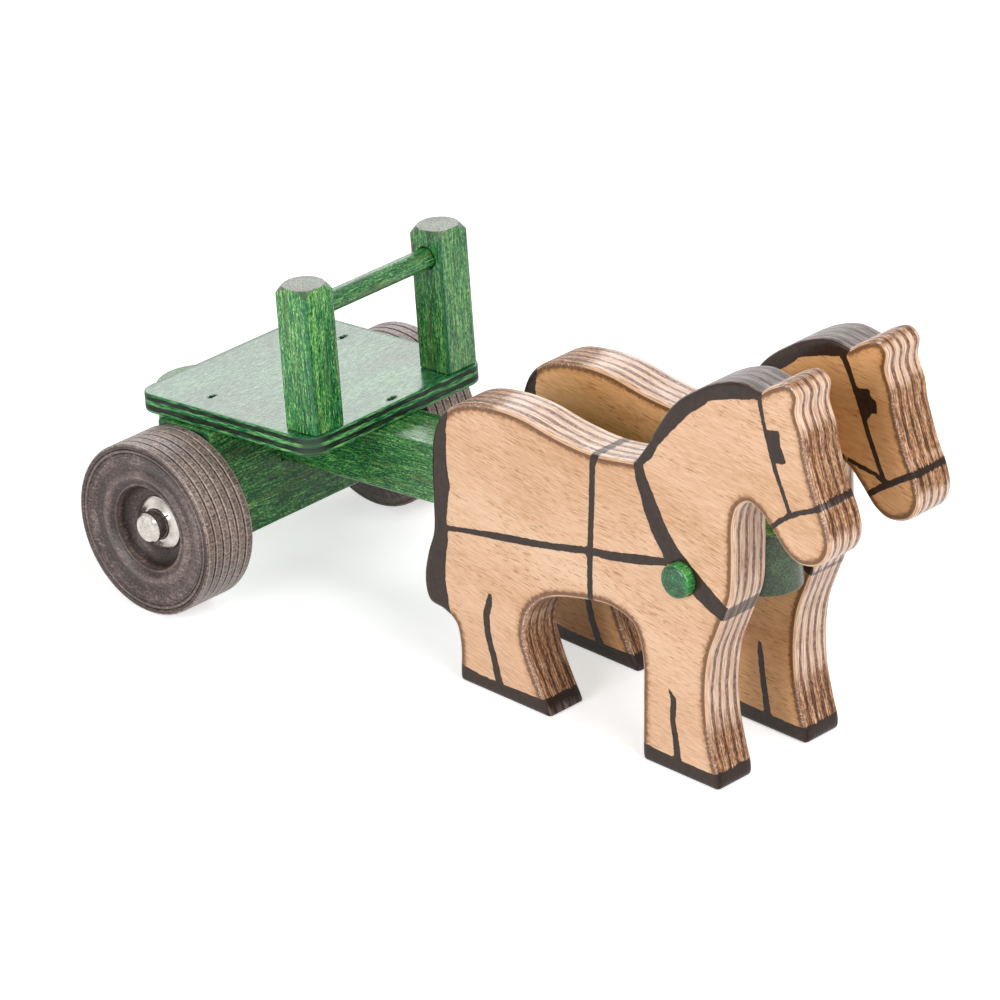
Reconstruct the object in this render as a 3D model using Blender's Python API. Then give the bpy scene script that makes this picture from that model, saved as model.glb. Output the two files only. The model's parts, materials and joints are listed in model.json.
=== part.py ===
"""Two-horse cart toy: a green two-wheeled cart whose tongue ends between two plywood horses.

Metres, +Z up, +X the way the horses face, +Y the cart's left side. The origin lies on the
ground under the middle of the wheel axle.
"""

from math import asin, atan2, ceil, cos, degrees, hypot, pi, radians, sin, sqrt

import bmesh
import bpy
from mathutils import Matrix, Vector

MM = 0.001

# Fits and clearances
FIT = 0.3 * MM              # gap all round a pin, rod or nail in its hole
SEAT = 0.3 * MM             # gap between two faces that rest on each other
WHEEL_END_PLAY = 0.7 * MM   # wheel's inner face to the axle block's end

# Wheels, axle rod and push nuts
WHEEL_DIAMETER = 63.5 * MM
WHEEL_WIDTH = 22.4 * MM
TREAD_GROOVES = 5
TREAD_GROOVE_WIDTH = 1.0 * MM
TREAD_GROOVE_DEPTH = 0.9 * MM
TREAD_EDGE_ROUND = 1.2 * MM
RIM_BEAD_WIDTH = 3.2 * MM
RIM_LINE_WIDTH = 0.8 * MM
RIM_LINE_DEPTH = 1.3 * MM
WALL_DROP = 0.8 * MM              # rim's face to the sidewall just inside the scored line
SHOULDER_DROP = 1.4 * MM          # rim's face to the start of the shoulder
SHOULDER_WIDTH = 3.6 * MM
SIDEWALL_DISH = 2.4 * MM          # rim's face to the edge of the hub recess
HUB_RECESS_RADIUS = 15.7 * MM
HUB_RECESS_DEPTH = 6.0 * MM
HUB_FLOOR_RADIUS = 11.4 * MM
ROD_DIAMETER = 11.1 * MM
ROD_PAST_NUT = 5.2 * MM
ROD_CHAMFER = 0.8 * MM
NUT_DIAMETER = 19.9 * MM
NUT_SHEET = 0.7 * MM
NUT_DISH = 0.9 * MM               # how far the inner edge stands out past the rim
NUT_KNEE = 0.5 * MM               # how much of that is reached where the slots end
NUT_SLOT_WIDTH = 0.6 * MM
NUT_SLOT_REACH = 1.2 * MM
NUT_SLOT_ANGLE = 45.0               # how far the line through the two slots leans, in degrees

# Axle block
BLOCK_LENGTH = 92.6 * MM
BLOCK_THICKNESS = 25.4 * MM
BLOCK_HEIGHT = 44.2 * MM
ROD_ABOVE_BLOCK_FOOT = 12.7 * MM
BLOCK_EDGE_ROUND = 1.0 * MM

# Tongue, which lies in a slot in the block's top
TONGUE_WIDTH = 23.4 * MM
TONGUE_HEIGHT = 22.3 * MM
TONGUE_REAR_REACH = 53.8 * MM     # axle to the rounded end behind the deck
HITCH_STEP = 6.5 * MM             # how much lower the top is behind the block
HITCH_END_RADIUS = 15.5 * MM
TONGUE_EDGE_ROUND = 1.2 * MM
PIVOT_REACH = 219.2 * MM          # axle to the horses' dowel, along the tongue
TONGUE_PAST_PIVOT = 22.8 * MM     # dowel to the rounded end between the horses
PIVOT_BELOW_TONGUE_TOP = 11.4 * MM

# Deck
DECK_LENGTH = 86.4 * MM
DECK_WIDTH = 89.3 * MM
DECK_THICKNESS = 7.1 * MM
DECK_PAST_AXLE = 62.1 * MM        # axle to the deck's front edge
DECK_CORNER_RADIUS = 7.5 * MM
DECK_EDGE_ROUND = 0.6 * MM

# Handle: two posts and a bar
POST_SIDE = 14.5 * MM
POST_LENGTH = 53.0 * MM
POST_INSET_FRONT = 1.1 * MM       # deck's front edge to the post's front face
POST_INSET_SIDE = 3.4 * MM        # deck's side edge to the post's outer face
POST_EDGE_ROUND = 0.8 * MM
POST_CAP_RADIUS = 7.4 * MM        # the round flat that is left on top of a post
BAR_DIAMETER = 7.5 * MM
BAR_BELOW_POST_TOP = 10.5 * MM
BAR_HOLE_DEPTH = 9.0 * MM

# Fasteners
NAIL_DIAMETER = 1.8 * MM
NAIL_LENGTH = 25.0 * MM
NAIL_POINT = 3.6 * MM
NAIL_SET = 0.8 * MM               # how far the heads are punched below the deck's top
BLOCK_NAIL_INSET = 11.3 * MM      # block nails, from the deck's side edges
BLOCK_NAIL_LEAD = 2.8 * MM        # block nails, ahead of the axle
TONGUE_NAIL_INSET = 3.9 * MM      # tongue nail, from the deck's front edge
SCREW_DIAMETER = 3.5 * MM
SCREW_LENGTH = 25.0 * MM
SCREW_POINT = 7.0 * MM
SCREW_HEAD_DIAMETER = 7.0 * MM
SCREW_HEAD_SET = 0.4 * MM         # how far the heads sit above the deck's underside

# Horses
HORSE_HEIGHT = 161.1 * MM         # soles to the tip of the ear
HORSE_THICKNESS = 17.6 * MM
HORSE_GAP = 28.0 * MM             # between the two horses' inner faces
HORSE_EDGE_ROUND = 1.5 * MM
OUTLINE_STEP = 4.5 * MM
PIVOT_HEIGHT = 74.5 * MM          # dowel's middle above the ground
DOWEL_DIAMETER = 12.2 * MM
DOWEL_PAST_HORSE = 4.2 * MM
DOWEL_END_ROUND = 1.3 * MM

# Outline of a horse, in millimetres at the height above: forward from the dowel hole, and up from
# the hoof soles. HORSE_HEIGHT scales it. Each list runs clockwise as seen from the cart's right
# side, from one sharp corner to the next.
HORSE_OUTLINE = (
    # rump, back and withers
    [(-99.9, 0), (-100.4, 13.9), (-102.6, 21.2), (-107.7, 24.2), (-114.7, 25.7), (-117.2, 32.9),
     (-115.9, 43.7), (-113.3, 53), (-113.5, 65), (-114.1, 78), (-113.4, 89.9), (-109.3, 99.2),
     (-100.8, 105.8), (-88, 109.3), (-73.5, 110.1), (-56, 107.8), (-40, 107.4), (-22, 110.4)],
    # mane
    [(-22, 110.4), (-15.9, 119.8), (-12.7, 126), (-5.2, 137.5), (5, 146.2), (15, 152.3),
     (24, 155.1), (32.3, 154.4)],
    # ear, forehead, nose, chin, throat, chest and the front of the foreleg
    [(32.3, 154.4), (37.5, 158.3), (44.4, 161.1), (48.3, 158.2), (48.1, 151.5), (51.2, 144.2),
     (52.7, 137.3), (57.7, 123.8), (61.9, 115.5), (63.6, 107.4), (60.2, 100.5), (51.4, 97.3),
     (45.3, 99.4), (39, 105.6), (33.5, 110.6), (28.6, 112.3), (24.2, 109), (22.2, 102),
     (22.4, 90), (22, 74.8), (17.5, 61.7), (13.4, 49.6), (12.2, 38), (13.1, 24.2),
     (16.2, 11.7), (18.3, 5.1), (18.6, 0)],
    # sole of the fore hoof
    [(18.6, 0), (-15.7, 0)],
    # back of the foreleg, belly and the front of the hind leg
    [(-15.7, 0), (-16.3, 22), (-17.2, 40), (-21, 49.3), (-31, 52.6), (-44, 50.8),
     (-60, 45.6), (-68.2, 37.9), (-70.6, 28.3), (-67.1, 17.8), (-61.9, 8), (-57.2, 0)],
    # sole of the hind hoof
    [(-57.2, 0), (-99.9, 0)],
)

# Roundness of the turned pieces, in facets
WHEEL_FACETS = 40
ROD_FACETS = 32
PIN_FACETS = 24
NAIL_FACETS = 10

# Places that follow from the sizes above. The cart's own frame has its origin in the middle of
# the axle rod, so heights in it are counted from the rod.
AXLE_HEIGHT = WHEEL_DIAMETER / 2
ROD_RADIUS = ROD_DIAMETER / 2
BLOCK_FOOT_Z = -ROD_ABOVE_BLOCK_FOOT
BLOCK_TOP_Z = BLOCK_FOOT_Z + BLOCK_HEIGHT
TONGUE_FOOT_Z = BLOCK_TOP_Z - TONGUE_HEIGHT
PIVOT_Z = BLOCK_TOP_Z - PIVOT_BELOW_TONGUE_TOP
TONGUE_FRONT_REACH = PIVOT_REACH + TONGUE_PAST_PIVOT
DECK_FOOT_Z = BLOCK_TOP_Z + SEAT
DECK_TOP_Z = DECK_FOOT_Z + DECK_THICKNESS
DECK_MIDDLE_X = DECK_PAST_AXLE - DECK_LENGTH / 2
POST_FOOT_Z = DECK_TOP_Z + SEAT
POST_X = DECK_PAST_AXLE - POST_INSET_FRONT - POST_SIDE / 2
POST_Y = DECK_WIDTH / 2 - POST_INSET_SIDE - POST_SIDE / 2
BAR_ABOVE_POST_FOOT = POST_LENGTH - BAR_BELOW_POST_TOP
WHEEL_INNER_Y = BLOCK_LENGTH / 2 + WHEEL_END_PLAY
HUB_FLOOR_Y = WHEEL_INNER_Y + WHEEL_WIDTH - SIDEWALL_DISH - HUB_RECESS_DEPTH
NUT_Y = HUB_FLOOR_Y + SEAT
ROD_HALF_LENGTH = NUT_Y + NUT_DISH + NUT_SHEET + ROD_PAST_NUT
NAIL_TOP_Z = DECK_TOP_Z - NAIL_SET
SCREW_FOOT_Z = DECK_FOOT_Z + SCREW_HEAD_SET - FIT

# The cart tips back on its wheels until the tongue's hole is as high as the horses' dowel
PIVOT_RADIUS = hypot(PIVOT_REACH, PIVOT_Z)
CART_TILT = asin((PIVOT_HEIGHT - AXLE_HEIGHT) / PIVOT_RADIUS) - atan2(PIVOT_Z, PIVOT_REACH)
PIVOT_X = sqrt(PIVOT_RADIUS ** 2 - (PIVOT_HEIGHT - AXLE_HEIGHT) ** 2)

SIDES = {"right": -1, "left": 1}


# Materials

def material(name, colour, roughness, metallic=0.0):
    mat = bpy.data.materials.new(name)
    mat.diffuse_color = (*colour, 1.0)
    mat.use_nodes = True
    shader = mat.node_tree.nodes["Principled BSDF"]
    shader.inputs["Base Color"].default_value = (*colour, 1.0)
    shader.inputs["Roughness"].default_value = roughness
    shader.inputs["Metallic"].default_value = metallic
    return mat


def green(name):
    return material(name, (0.03, 0.20, 0.06), 0.32)


def plywood(name):
    return material(name, (0.80, 0.56, 0.34), 0.45)


def dark_wood(name):
    return material(name, (0.11, 0.08, 0.075), 0.5)


def steel(name):
    return material(name, (0.72, 0.72, 0.71), 0.25, 1.0)


# Building blocks

def add_object(name, bm, mat=None, parent=None, smooth_angle=35.0):
    """Turn a bmesh into an object with outward faces and smooth round stretches."""
    bmesh.ops.recalc_face_normals(bm, faces=bm.faces)
    mesh = bpy.data.meshes.new(name)
    bm.to_mesh(mesh)
    bm.free()
    mesh.shade_smooth()
    mesh.set_sharp_from_angle(angle=radians(smooth_angle))
    if mat:
        mesh.materials.append(mat)
    obj = bpy.data.objects.new(name, mesh)
    bpy.context.scene.collection.objects.link(obj)
    obj.parent = parent
    return obj


def add_frame(name, location, tilt=0.0):
    frame = bpy.data.objects.new(name, None)
    bpy.context.scene.collection.objects.link(frame)
    frame.location = location
    frame.rotation_euler = (0.0, -tilt, 0.0)
    return frame


def boolean(obj, cutter, operation="DIFFERENCE"):
    """Cut a piece with a hidden tool that keeps its own place."""
    cutter.hide_render = True
    cutter.display_type = "WIRE"
    cut = obj.modifiers.new(cutter.name, "BOOLEAN")
    cut.operation = operation
    cut.solver = "EXACT"
    cut.object = cutter


def box(size, centre):
    bm = bmesh.new()
    bmesh.ops.create_cube(bm, size=1.0)
    bmesh.ops.scale(bm, vec=size, verts=bm.verts)
    bmesh.ops.translate(bm, vec=centre, verts=bm.verts)
    return bm


def round_edges(bm, edges, radius, segments):
    bmesh.ops.bevel(bm, geom=list(edges), offset=radius, offset_type="OFFSET",
                    segments=segments, profile=0.5, affect="EDGES", clamp_overlap=True)


def prism(outline, low, high):
    """Extrude a closed outline of (x, y) points from z = low to z = high."""
    bm = bmesh.new()
    foot = bm.faces.new([bm.verts.new((x, y, low)) for x, y in outline])
    extruded = bmesh.ops.extrude_face_region(bm, geom=[foot])["geom"]
    top = [v for v in extruded if isinstance(v, bmesh.types.BMVert)]
    bmesh.ops.translate(bm, vec=(0.0, 0.0, high - low), verts=top)
    return bm


def rim_edges(bm, levels):
    """The edges of a prism that lie in one of the given z levels."""
    return [e for e in bm.edges
            if any(all(abs(v.co.z - z) < 1e-6 for v in e.verts) for z in levels)]


def turned(profile, facets, axis="Z"):
    """Spin a closed (radius, height) profile round the axis, and lay that axis along Y if asked."""
    bm = bmesh.new()
    verts = [bm.verts.new((r, 0.0, z)) for r, z in profile]
    on_axis = profile[0][0] < 1e-9 and profile[-1][0] < 1e-9
    pairs = zip(verts, verts[1:] if on_axis else verts[1:] + verts[:1])
    edges = [bm.edges.new(pair) for pair in pairs]
    bmesh.ops.spin(bm, geom=verts + edges, cent=(0, 0, 0), axis=(0, 0, 1), dvec=(0, 0, 0),
                   angle=2 * pi, steps=facets, use_duplicate=False)
    bmesh.ops.remove_doubles(bm, verts=bm.verts, dist=1e-7)
    if axis == "Y":
        bmesh.ops.rotate(bm, matrix=Matrix.Rotation(-pi / 2, 3, "X"), verts=bm.verts)
    return bm


def arc(centre, radius, start, end, steps, height=None):
    """Points on an arc between two angles in degrees, or on an ellipse's if height is given."""
    angles = [radians(start + (end - start) * i / steps) for i in range(steps + 1)]
    high = radius if height is None else height
    return [(centre[0] + radius * cos(a), centre[1] + high * sin(a)) for a in angles]


def rod(radius, low, high, facets, axis="Z", end_cut=0.0):
    """A round bar from low to high, with both ends chamfered by end_cut."""
    side = [(radius, low + end_cut), (radius, high - end_cut)]
    if end_cut:
        side = [(radius - end_cut, low)] + side + [(radius - end_cut, high)]
    return turned([(0.0, low)] + side + [(0.0, high)], facets, axis)


def moved(bm, x=0.0, y=0.0, z=0.0):
    bmesh.ops.translate(bm, vec=(x, y, z), verts=bm.verts)
    return bm


# Wheels, axle rod and push nuts

def tread_profile():
    """The rim from its inner face to its outer one: a rounded edge, then ribs and grooves."""
    radius = WHEEL_DIAMETER / 2
    r = TREAD_EDGE_ROUND
    points = arc((radius - r, r), r, -90, 0, 3)
    pitch = WHEEL_WIDTH / (TREAD_GROOVES + 1)
    for i in range(TREAD_GROOVES):
        middle = pitch * (i + 1)
        points += [(radius, middle - TREAD_GROOVE_WIDTH / 2),
                   (radius - TREAD_GROOVE_DEPTH, middle),
                   (radius, middle + TREAD_GROOVE_WIDTH / 2)]
    return points + arc((radius - r, WHEEL_WIDTH - r), r, 0, 90, 3)


def sidewall_profile():
    """The outer face inwards: bead, scored line, dished wall, round shoulder, coved recess."""
    line = WHEEL_DIAMETER / 2 - RIM_BEAD_WIDTH
    wall = line - RIM_LINE_WIDTH
    shoulder = HUB_RECESS_RADIUS + SHOULDER_WIDTH
    dished = WHEEL_WIDTH - SIDEWALL_DISH
    points = [(line, WHEEL_WIDTH),
              ((line + wall) / 2, WHEEL_WIDTH - RIM_LINE_DEPTH),
              (wall, WHEEL_WIDTH - WALL_DROP)]
    points += arc((shoulder, dished), SHOULDER_WIDTH, 90, 180, 3, SIDEWALL_DISH - SHOULDER_DROP)
    cove = arc((HUB_FLOOR_RADIUS, dished), HUB_RECESS_RADIUS - HUB_FLOOR_RADIUS, 0, -90, 3,
               HUB_RECESS_DEPTH)
    return points + cove[1:]


def add_wheel(side, sign):
    bore = ROD_RADIUS + FIT
    profile = [(bore, 0.0)] + tread_profile() + sidewall_profile()
    profile.append((bore, WHEEL_WIDTH - SIDEWALL_DISH - HUB_RECESS_DEPTH))
    name = f"wheel_{side}"
    wheel = add_object(name, turned(profile, WHEEL_FACETS, "Y"), dark_wood(f"{name}_stained_wood"))
    wheel.location = (0.0, sign * WHEEL_INNER_Y, AXLE_HEIGHT)
    if sign < 0:
        wheel.rotation_euler = (0.0, 0.0, pi)
    return wheel


def add_axle_rod(frame):
    bm = rod(ROD_RADIUS, -ROD_HALF_LENGTH, ROD_HALF_LENGTH, ROD_FACETS, "Y", ROD_CHAMFER)
    return add_object("axle_rod", bm, steel("rod_steel"), frame)


def add_push_nut(side, sign, frame):
    """A dished sheet ring whose inner edge grips the rod, with two slots that let it give."""
    name = f"push_nut_{side}"
    outer = NUT_DIAMETER / 2
    bore = ROD_RADIUS + FIT
    knee = bore + NUT_SLOT_REACH
    profile = [(bore, NUT_DISH), (knee, NUT_KNEE), (outer, 0.0),
               (outer, NUT_SHEET), (knee, NUT_KNEE + NUT_SHEET), (bore, NUT_DISH + NUT_SHEET)]
    nut = add_object(name, turned(profile, ROD_FACETS, "Y"), steel(f"{name}_zinc"), frame)
    blade_size = (2 * knee, 4 * (NUT_DISH + NUT_SHEET), NUT_SLOT_WIDTH)
    blade = add_object(f"{name}_slots", box(blade_size, (0.0, 0.0, 0.0)), parent=nut)
    blade.rotation_euler = (0.0, radians(NUT_SLOT_ANGLE), 0.0)
    boolean(nut, blade)
    nut.location = (0.0, sign * NUT_Y, 0.0)
    if sign < 0:
        nut.rotation_euler = (0.0, 0.0, pi)
    return nut


# Cart: axle block, tongue, deck, posts and bar

def add_axle_block(frame):
    middle = (0.0, 0.0, (BLOCK_FOOT_Z + BLOCK_TOP_Z) / 2)
    bm = box((BLOCK_THICKNESS, BLOCK_LENGTH, BLOCK_HEIGHT), middle)
    round_edges(bm, bm.edges, BLOCK_EDGE_ROUND, 2)
    block = add_object("axle_block", bm, green("block_green_stain"), frame)
    slot_foot = TONGUE_FOOT_Z - SEAT
    slot_height = 2 * TONGUE_HEIGHT
    slot = box((2 * BLOCK_THICKNESS, TONGUE_WIDTH + 2 * FIT, slot_height),
               (0.0, 0.0, slot_foot + slot_height / 2))
    boolean(block, add_object("block_tongue_slot", slot, parent=frame))
    bore = rod(ROD_RADIUS + FIT, -BLOCK_LENGTH, BLOCK_LENGTH, ROD_FACETS, "Y")
    boolean(block, add_object("block_rod_bore", bore, parent=frame))
    for side in SIDES:
        boolean(block, add_object(f"block_nail_hole_{side}", nail_hole(side), parent=frame))
    return block


def tongue_outline():
    """The tongue from above: a half-round front end and a shallow round rear end."""
    half = TONGUE_WIDTH / 2
    front = arc((TONGUE_FRONT_REACH - half, 0.0), half, -90, 90, 16)
    spread = degrees(asin(half / HITCH_END_RADIUS))
    rear = arc((HITCH_END_RADIUS - TONGUE_REAR_REACH, 0.0), HITCH_END_RADIUS,
               180 - spread, 180 + spread, 10)
    return front + rear


def add_tongue(frame):
    bm = prism(tongue_outline(), TONGUE_FOOT_Z, BLOCK_TOP_Z)
    round_edges(bm, rim_edges(bm, (TONGUE_FOOT_Z, BLOCK_TOP_Z)), TONGUE_EDGE_ROUND, 2)
    tongue = add_object("tongue", bm, green("tongue_green_stain"), frame)
    step_end = -BLOCK_THICKNESS / 2
    step_length = 2 * TONGUE_REAR_REACH
    step = box((step_length, 2 * TONGUE_WIDTH, TONGUE_HEIGHT),
               (step_end - step_length / 2, 0.0, BLOCK_TOP_Z - HITCH_STEP + TONGUE_HEIGHT / 2))
    boolean(tongue, add_object("tongue_hitch_step", step, parent=frame))
    bore = rod(DOWEL_DIAMETER / 2 + FIT, -TONGUE_WIDTH, TONGUE_WIDTH, PIN_FACETS, "Y")
    boolean(tongue, add_object("tongue_dowel_bore", moved(bore, PIVOT_REACH, 0.0, PIVOT_Z),
                               parent=frame))
    boolean(tongue, add_object("tongue_nail_hole", nail_hole("front"), parent=frame))
    return tongue


def rounded_rectangle(length, width, radius, steps):
    points = []
    for i, (sx, sy) in enumerate(((1, -1), (1, 1), (-1, 1), (-1, -1))):
        centre = (sx * (length / 2 - radius), sy * (width / 2 - radius))
        points += arc(centre, radius, 90 * (i - 1), 90 * i, steps)
    return points


def add_deck(frame):
    outline = rounded_rectangle(DECK_LENGTH, DECK_WIDTH, DECK_CORNER_RADIUS, 5)
    bm = prism(outline, DECK_FOOT_Z, DECK_TOP_Z)
    round_edges(bm, rim_edges(bm, (DECK_FOOT_Z, DECK_TOP_Z)), DECK_EDGE_ROUND, 2)
    deck = add_object("deck", moved(bm, DECK_MIDDLE_X), green("deck_green_plywood"), frame)
    for place in nail_places():
        boolean(deck, add_object(f"deck_nail_hole_{place}", nail_hole(place), parent=frame))
    for side, sign in SIDES.items():
        hole = moved(screw_hole(), POST_X, sign * POST_Y, DECK_FOOT_Z)
        boolean(deck, add_object(f"deck_screw_hole_{side}", hole, parent=frame))
    return deck


def add_post(side, sign, frame):
    """A square post with its top corners turned off, bored for the bar and for its screw."""
    name = f"handle_post_{side}"
    bm = box((POST_SIDE, POST_SIDE, POST_LENGTH), (0.0, 0.0, POST_LENGTH / 2))
    upright = [e for e in bm.edges if abs(e.verts[0].co.z - e.verts[1].co.z) > POST_LENGTH / 2]
    round_edges(bm, upright, POST_EDGE_ROUND, 2)
    post = add_object(name, bm, green(f"{name}_green_stain"), frame)
    post.location = (POST_X, sign * POST_Y, POST_FOOT_Z)
    wide = POST_SIDE
    corner_drop = wide - POST_CAP_RADIUS
    pencil = turned([(0.0, -POST_LENGTH), (wide, -POST_LENGTH), (wide, POST_LENGTH - corner_drop),
                     (POST_CAP_RADIUS, POST_LENGTH), (0.0, POST_LENGTH)], WHEEL_FACETS)
    boolean(post, add_object(f"{name}_turned_top", pencil, parent=post), "INTERSECT")
    face = POST_SIDE / 2
    hole = rod(BAR_DIAMETER / 2 + FIT, face - BAR_HOLE_DEPTH, face + BAR_HOLE_DEPTH,
               PIN_FACETS, "Y")
    if sign > 0:
        bmesh.ops.rotate(hole, matrix=Matrix.Rotation(pi, 3, "Z"), verts=hole.verts)
    boolean(post, add_object(f"{name}_bar_hole", moved(hole, z=BAR_ABOVE_POST_FOOT), parent=post))
    pilot_top = SCREW_FOOT_Z + SCREW_LENGTH + FIT - POST_FOOT_Z
    pilot = rod(SCREW_DIAMETER / 2 + FIT, -POST_SIDE, pilot_top, NAIL_FACETS)
    boolean(post, add_object(f"{name}_screw_hole", pilot, parent=post))
    return post


def add_handle_bar(frame):
    half = POST_Y - POST_SIDE / 2 + BAR_HOLE_DEPTH - SEAT
    bm = rod(BAR_DIAMETER / 2, -half, half, PIN_FACETS, "Y")
    bar = add_object("handle_bar", bm, green("bar_green_stain"), frame)
    bar.location = (POST_X, 0.0, POST_FOOT_Z + BAR_ABOVE_POST_FOOT)
    return bar


# Nails and screws

def nail_places():
    """Two nails into the axle block and one into the tongue, as seen from above."""
    side = DECK_WIDTH / 2 - BLOCK_NAIL_INSET
    return {"right": (BLOCK_NAIL_LEAD, -side),
            "left": (BLOCK_NAIL_LEAD, side),
            "front": (DECK_PAST_AXLE - TONGUE_NAIL_INSET, 0.0)}


def nail_hole(place):
    x, y = nail_places()[place]
    low = NAIL_TOP_Z - NAIL_LENGTH - FIT
    hole = rod(NAIL_DIAMETER / 2 + FIT, low, DECK_TOP_Z + DECK_THICKNESS, NAIL_FACETS)
    return moved(hole, x, y)


def add_deck_nail(place, frame):
    radius = NAIL_DIAMETER / 2
    low = NAIL_TOP_Z - NAIL_LENGTH
    profile = [(0.0, low), (radius, low + NAIL_POINT), (radius, NAIL_TOP_Z),
               (0.0, NAIL_TOP_Z)]
    nail = add_object(f"deck_nail_{place}", turned(profile, NAIL_FACETS),
                      steel(f"nail_{place}_steel"), frame)
    nail.location = (*nail_places()[place], 0.0)
    return nail


def screw_hole():
    """A countersunk hole from the deck's underside up, with z = 0 at that underside."""
    shank = SCREW_DIAMETER / 2 + FIT
    head = SCREW_HEAD_DIAMETER / 2 + FIT
    sink = head - shank
    return turned([(0.0, -DECK_THICKNESS), (head, -DECK_THICKNESS), (head, SCREW_HEAD_SET),
                   (shank, SCREW_HEAD_SET + sink), (shank, SCREW_LENGTH), (0.0, SCREW_LENGTH)],
                  PIN_FACETS)


def add_post_screw(side, sign, frame):
    shank = SCREW_DIAMETER / 2
    head = SCREW_HEAD_DIAMETER / 2
    profile = [(0.0, 0.0), (head, 0.0), (shank, head - shank),
               (shank, SCREW_LENGTH - SCREW_POINT), (0.0, SCREW_LENGTH)]
    screw = add_object(f"post_screw_{side}", turned(profile, PIN_FACETS),
                       steel(f"screw_{side}_steel"), frame)
    screw.location = (POST_X, sign * POST_Y, SCREW_FOOT_Z)
    return screw


# Horses and their dowel

def smooth_run(points, step):
    """A centripetal Catmull-Rom curve through points, without its last point."""
    if len(points) == 2:
        return [Vector(points[0])]
    knots = [Vector(p) for p in points]
    knots = [2 * knots[0] - knots[1]] + knots + [2 * knots[-1] - knots[-2]]
    curve = []
    for p0, p1, p2, p3 in zip(knots, knots[1:], knots[2:], knots[3:]):
        t1 = sqrt((p1 - p0).length)
        t2 = t1 + sqrt((p2 - p1).length)
        t3 = t2 + sqrt((p3 - p2).length)
        count = max(2, ceil((p2 - p1).length / step))
        for i in range(count):
            t = t1 + (t2 - t1) * i / count
            a1 = p0 + (p1 - p0) * (t / t1)
            a2 = p1 + (p2 - p1) * ((t - t1) / (t2 - t1))
            a3 = p2 + (p3 - p2) * ((t - t2) / (t3 - t2))
            b1 = a1 + (a2 - a1) * (t / t2)
            b2 = a2 + (a3 - a2) * ((t - t1) / (t3 - t1))
            curve.append(b1 + (b2 - b1) * ((t - t1) / (t2 - t1)))
    return curve


def horse_outline():
    """The horse's outline in metres, from the dowel hole, as (forward, down) points."""
    scale = HORSE_HEIGHT / max(z for run in HORSE_OUTLINE for x, z in run)
    curve = []
    for run in HORSE_OUTLINE:
        scaled = [(x * scale, z * scale - PIVOT_HEIGHT) for x, z in run]
        curve += smooth_run(scaled, OUTLINE_STEP)
    return [(x, -z) for x, z in curve]


def add_horse(side, sign, frame):
    """Saw the outline from plywood, round its edges and bore it for the dowel."""
    name = f"horse_{side}"
    half = HORSE_THICKNESS / 2
    bm = prism(horse_outline(), -half, half)
    round_edges(bm, rim_edges(bm, (-half, half)), HORSE_EDGE_ROUND, 2)
    bmesh.ops.rotate(bm, matrix=Matrix.Rotation(-pi / 2, 3, "X"), verts=bm.verts)
    horse = add_object(name, bm, plywood(f"{name}_plywood"), frame)
    horse.location = (0.0, sign * (HORSE_GAP / 2 + half), 0.0)
    bore = rod(DOWEL_DIAMETER / 2 + FIT, -HORSE_THICKNESS, HORSE_THICKNESS, PIN_FACETS, "Y")
    boolean(horse, add_object(f"{name}_bore", bore, parent=horse))
    return horse


def add_horse_dowel(frame):
    half = HORSE_GAP / 2 + HORSE_THICKNESS + DOWEL_PAST_HORSE
    r = DOWEL_END_ROUND
    radius = DOWEL_DIAMETER / 2
    profile = [(0.0, -half)] + arc((radius - r, -half + r), r, -90, 0, 3)
    profile += arc((radius - r, half - r), r, 0, 90, 3) + [(0.0, half)]
    return add_object("horse_dowel", turned(profile, PIN_FACETS, "Y"),
                      green("dowel_green_stain"), frame)


def build():
    for obj in list(bpy.data.objects):
        bpy.data.objects.remove(obj, do_unlink=True)
    cart = add_frame("cart_frame", (0.0, 0.0, AXLE_HEIGHT), CART_TILT)
    axle = add_frame("axle_axis", (0.0, 0.0, AXLE_HEIGHT))
    team = add_frame("horse_axis", (PIVOT_X, 0.0, PIVOT_HEIGHT))
    add_axle_block(cart)
    add_tongue(cart)
    add_deck(cart)
    add_handle_bar(cart)
    for place in nail_places():
        add_deck_nail(place, cart)
    add_axle_rod(axle)
    add_horse_dowel(team)
    for side, sign in SIDES.items():
        add_post(side, sign, cart)
        add_post_screw(side, sign, cart)
        add_wheel(side, sign)
        add_push_nut(side, sign, axle)
        add_horse(side, sign, team)


build()
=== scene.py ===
"""Looks of the two-horse cart toy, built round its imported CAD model.

Metres, +Z up, +X the way the horses face, +Y the cart's left side, away from the camera.
"""
import json
from math import asin, atan2, ceil, cos, degrees, pi, radians, sin, sqrt

import bmesh
import bpy
import numpy as np
from mathutils import Matrix, Vector
from mathutils.geometry import delaunay_2d_cdt


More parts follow.
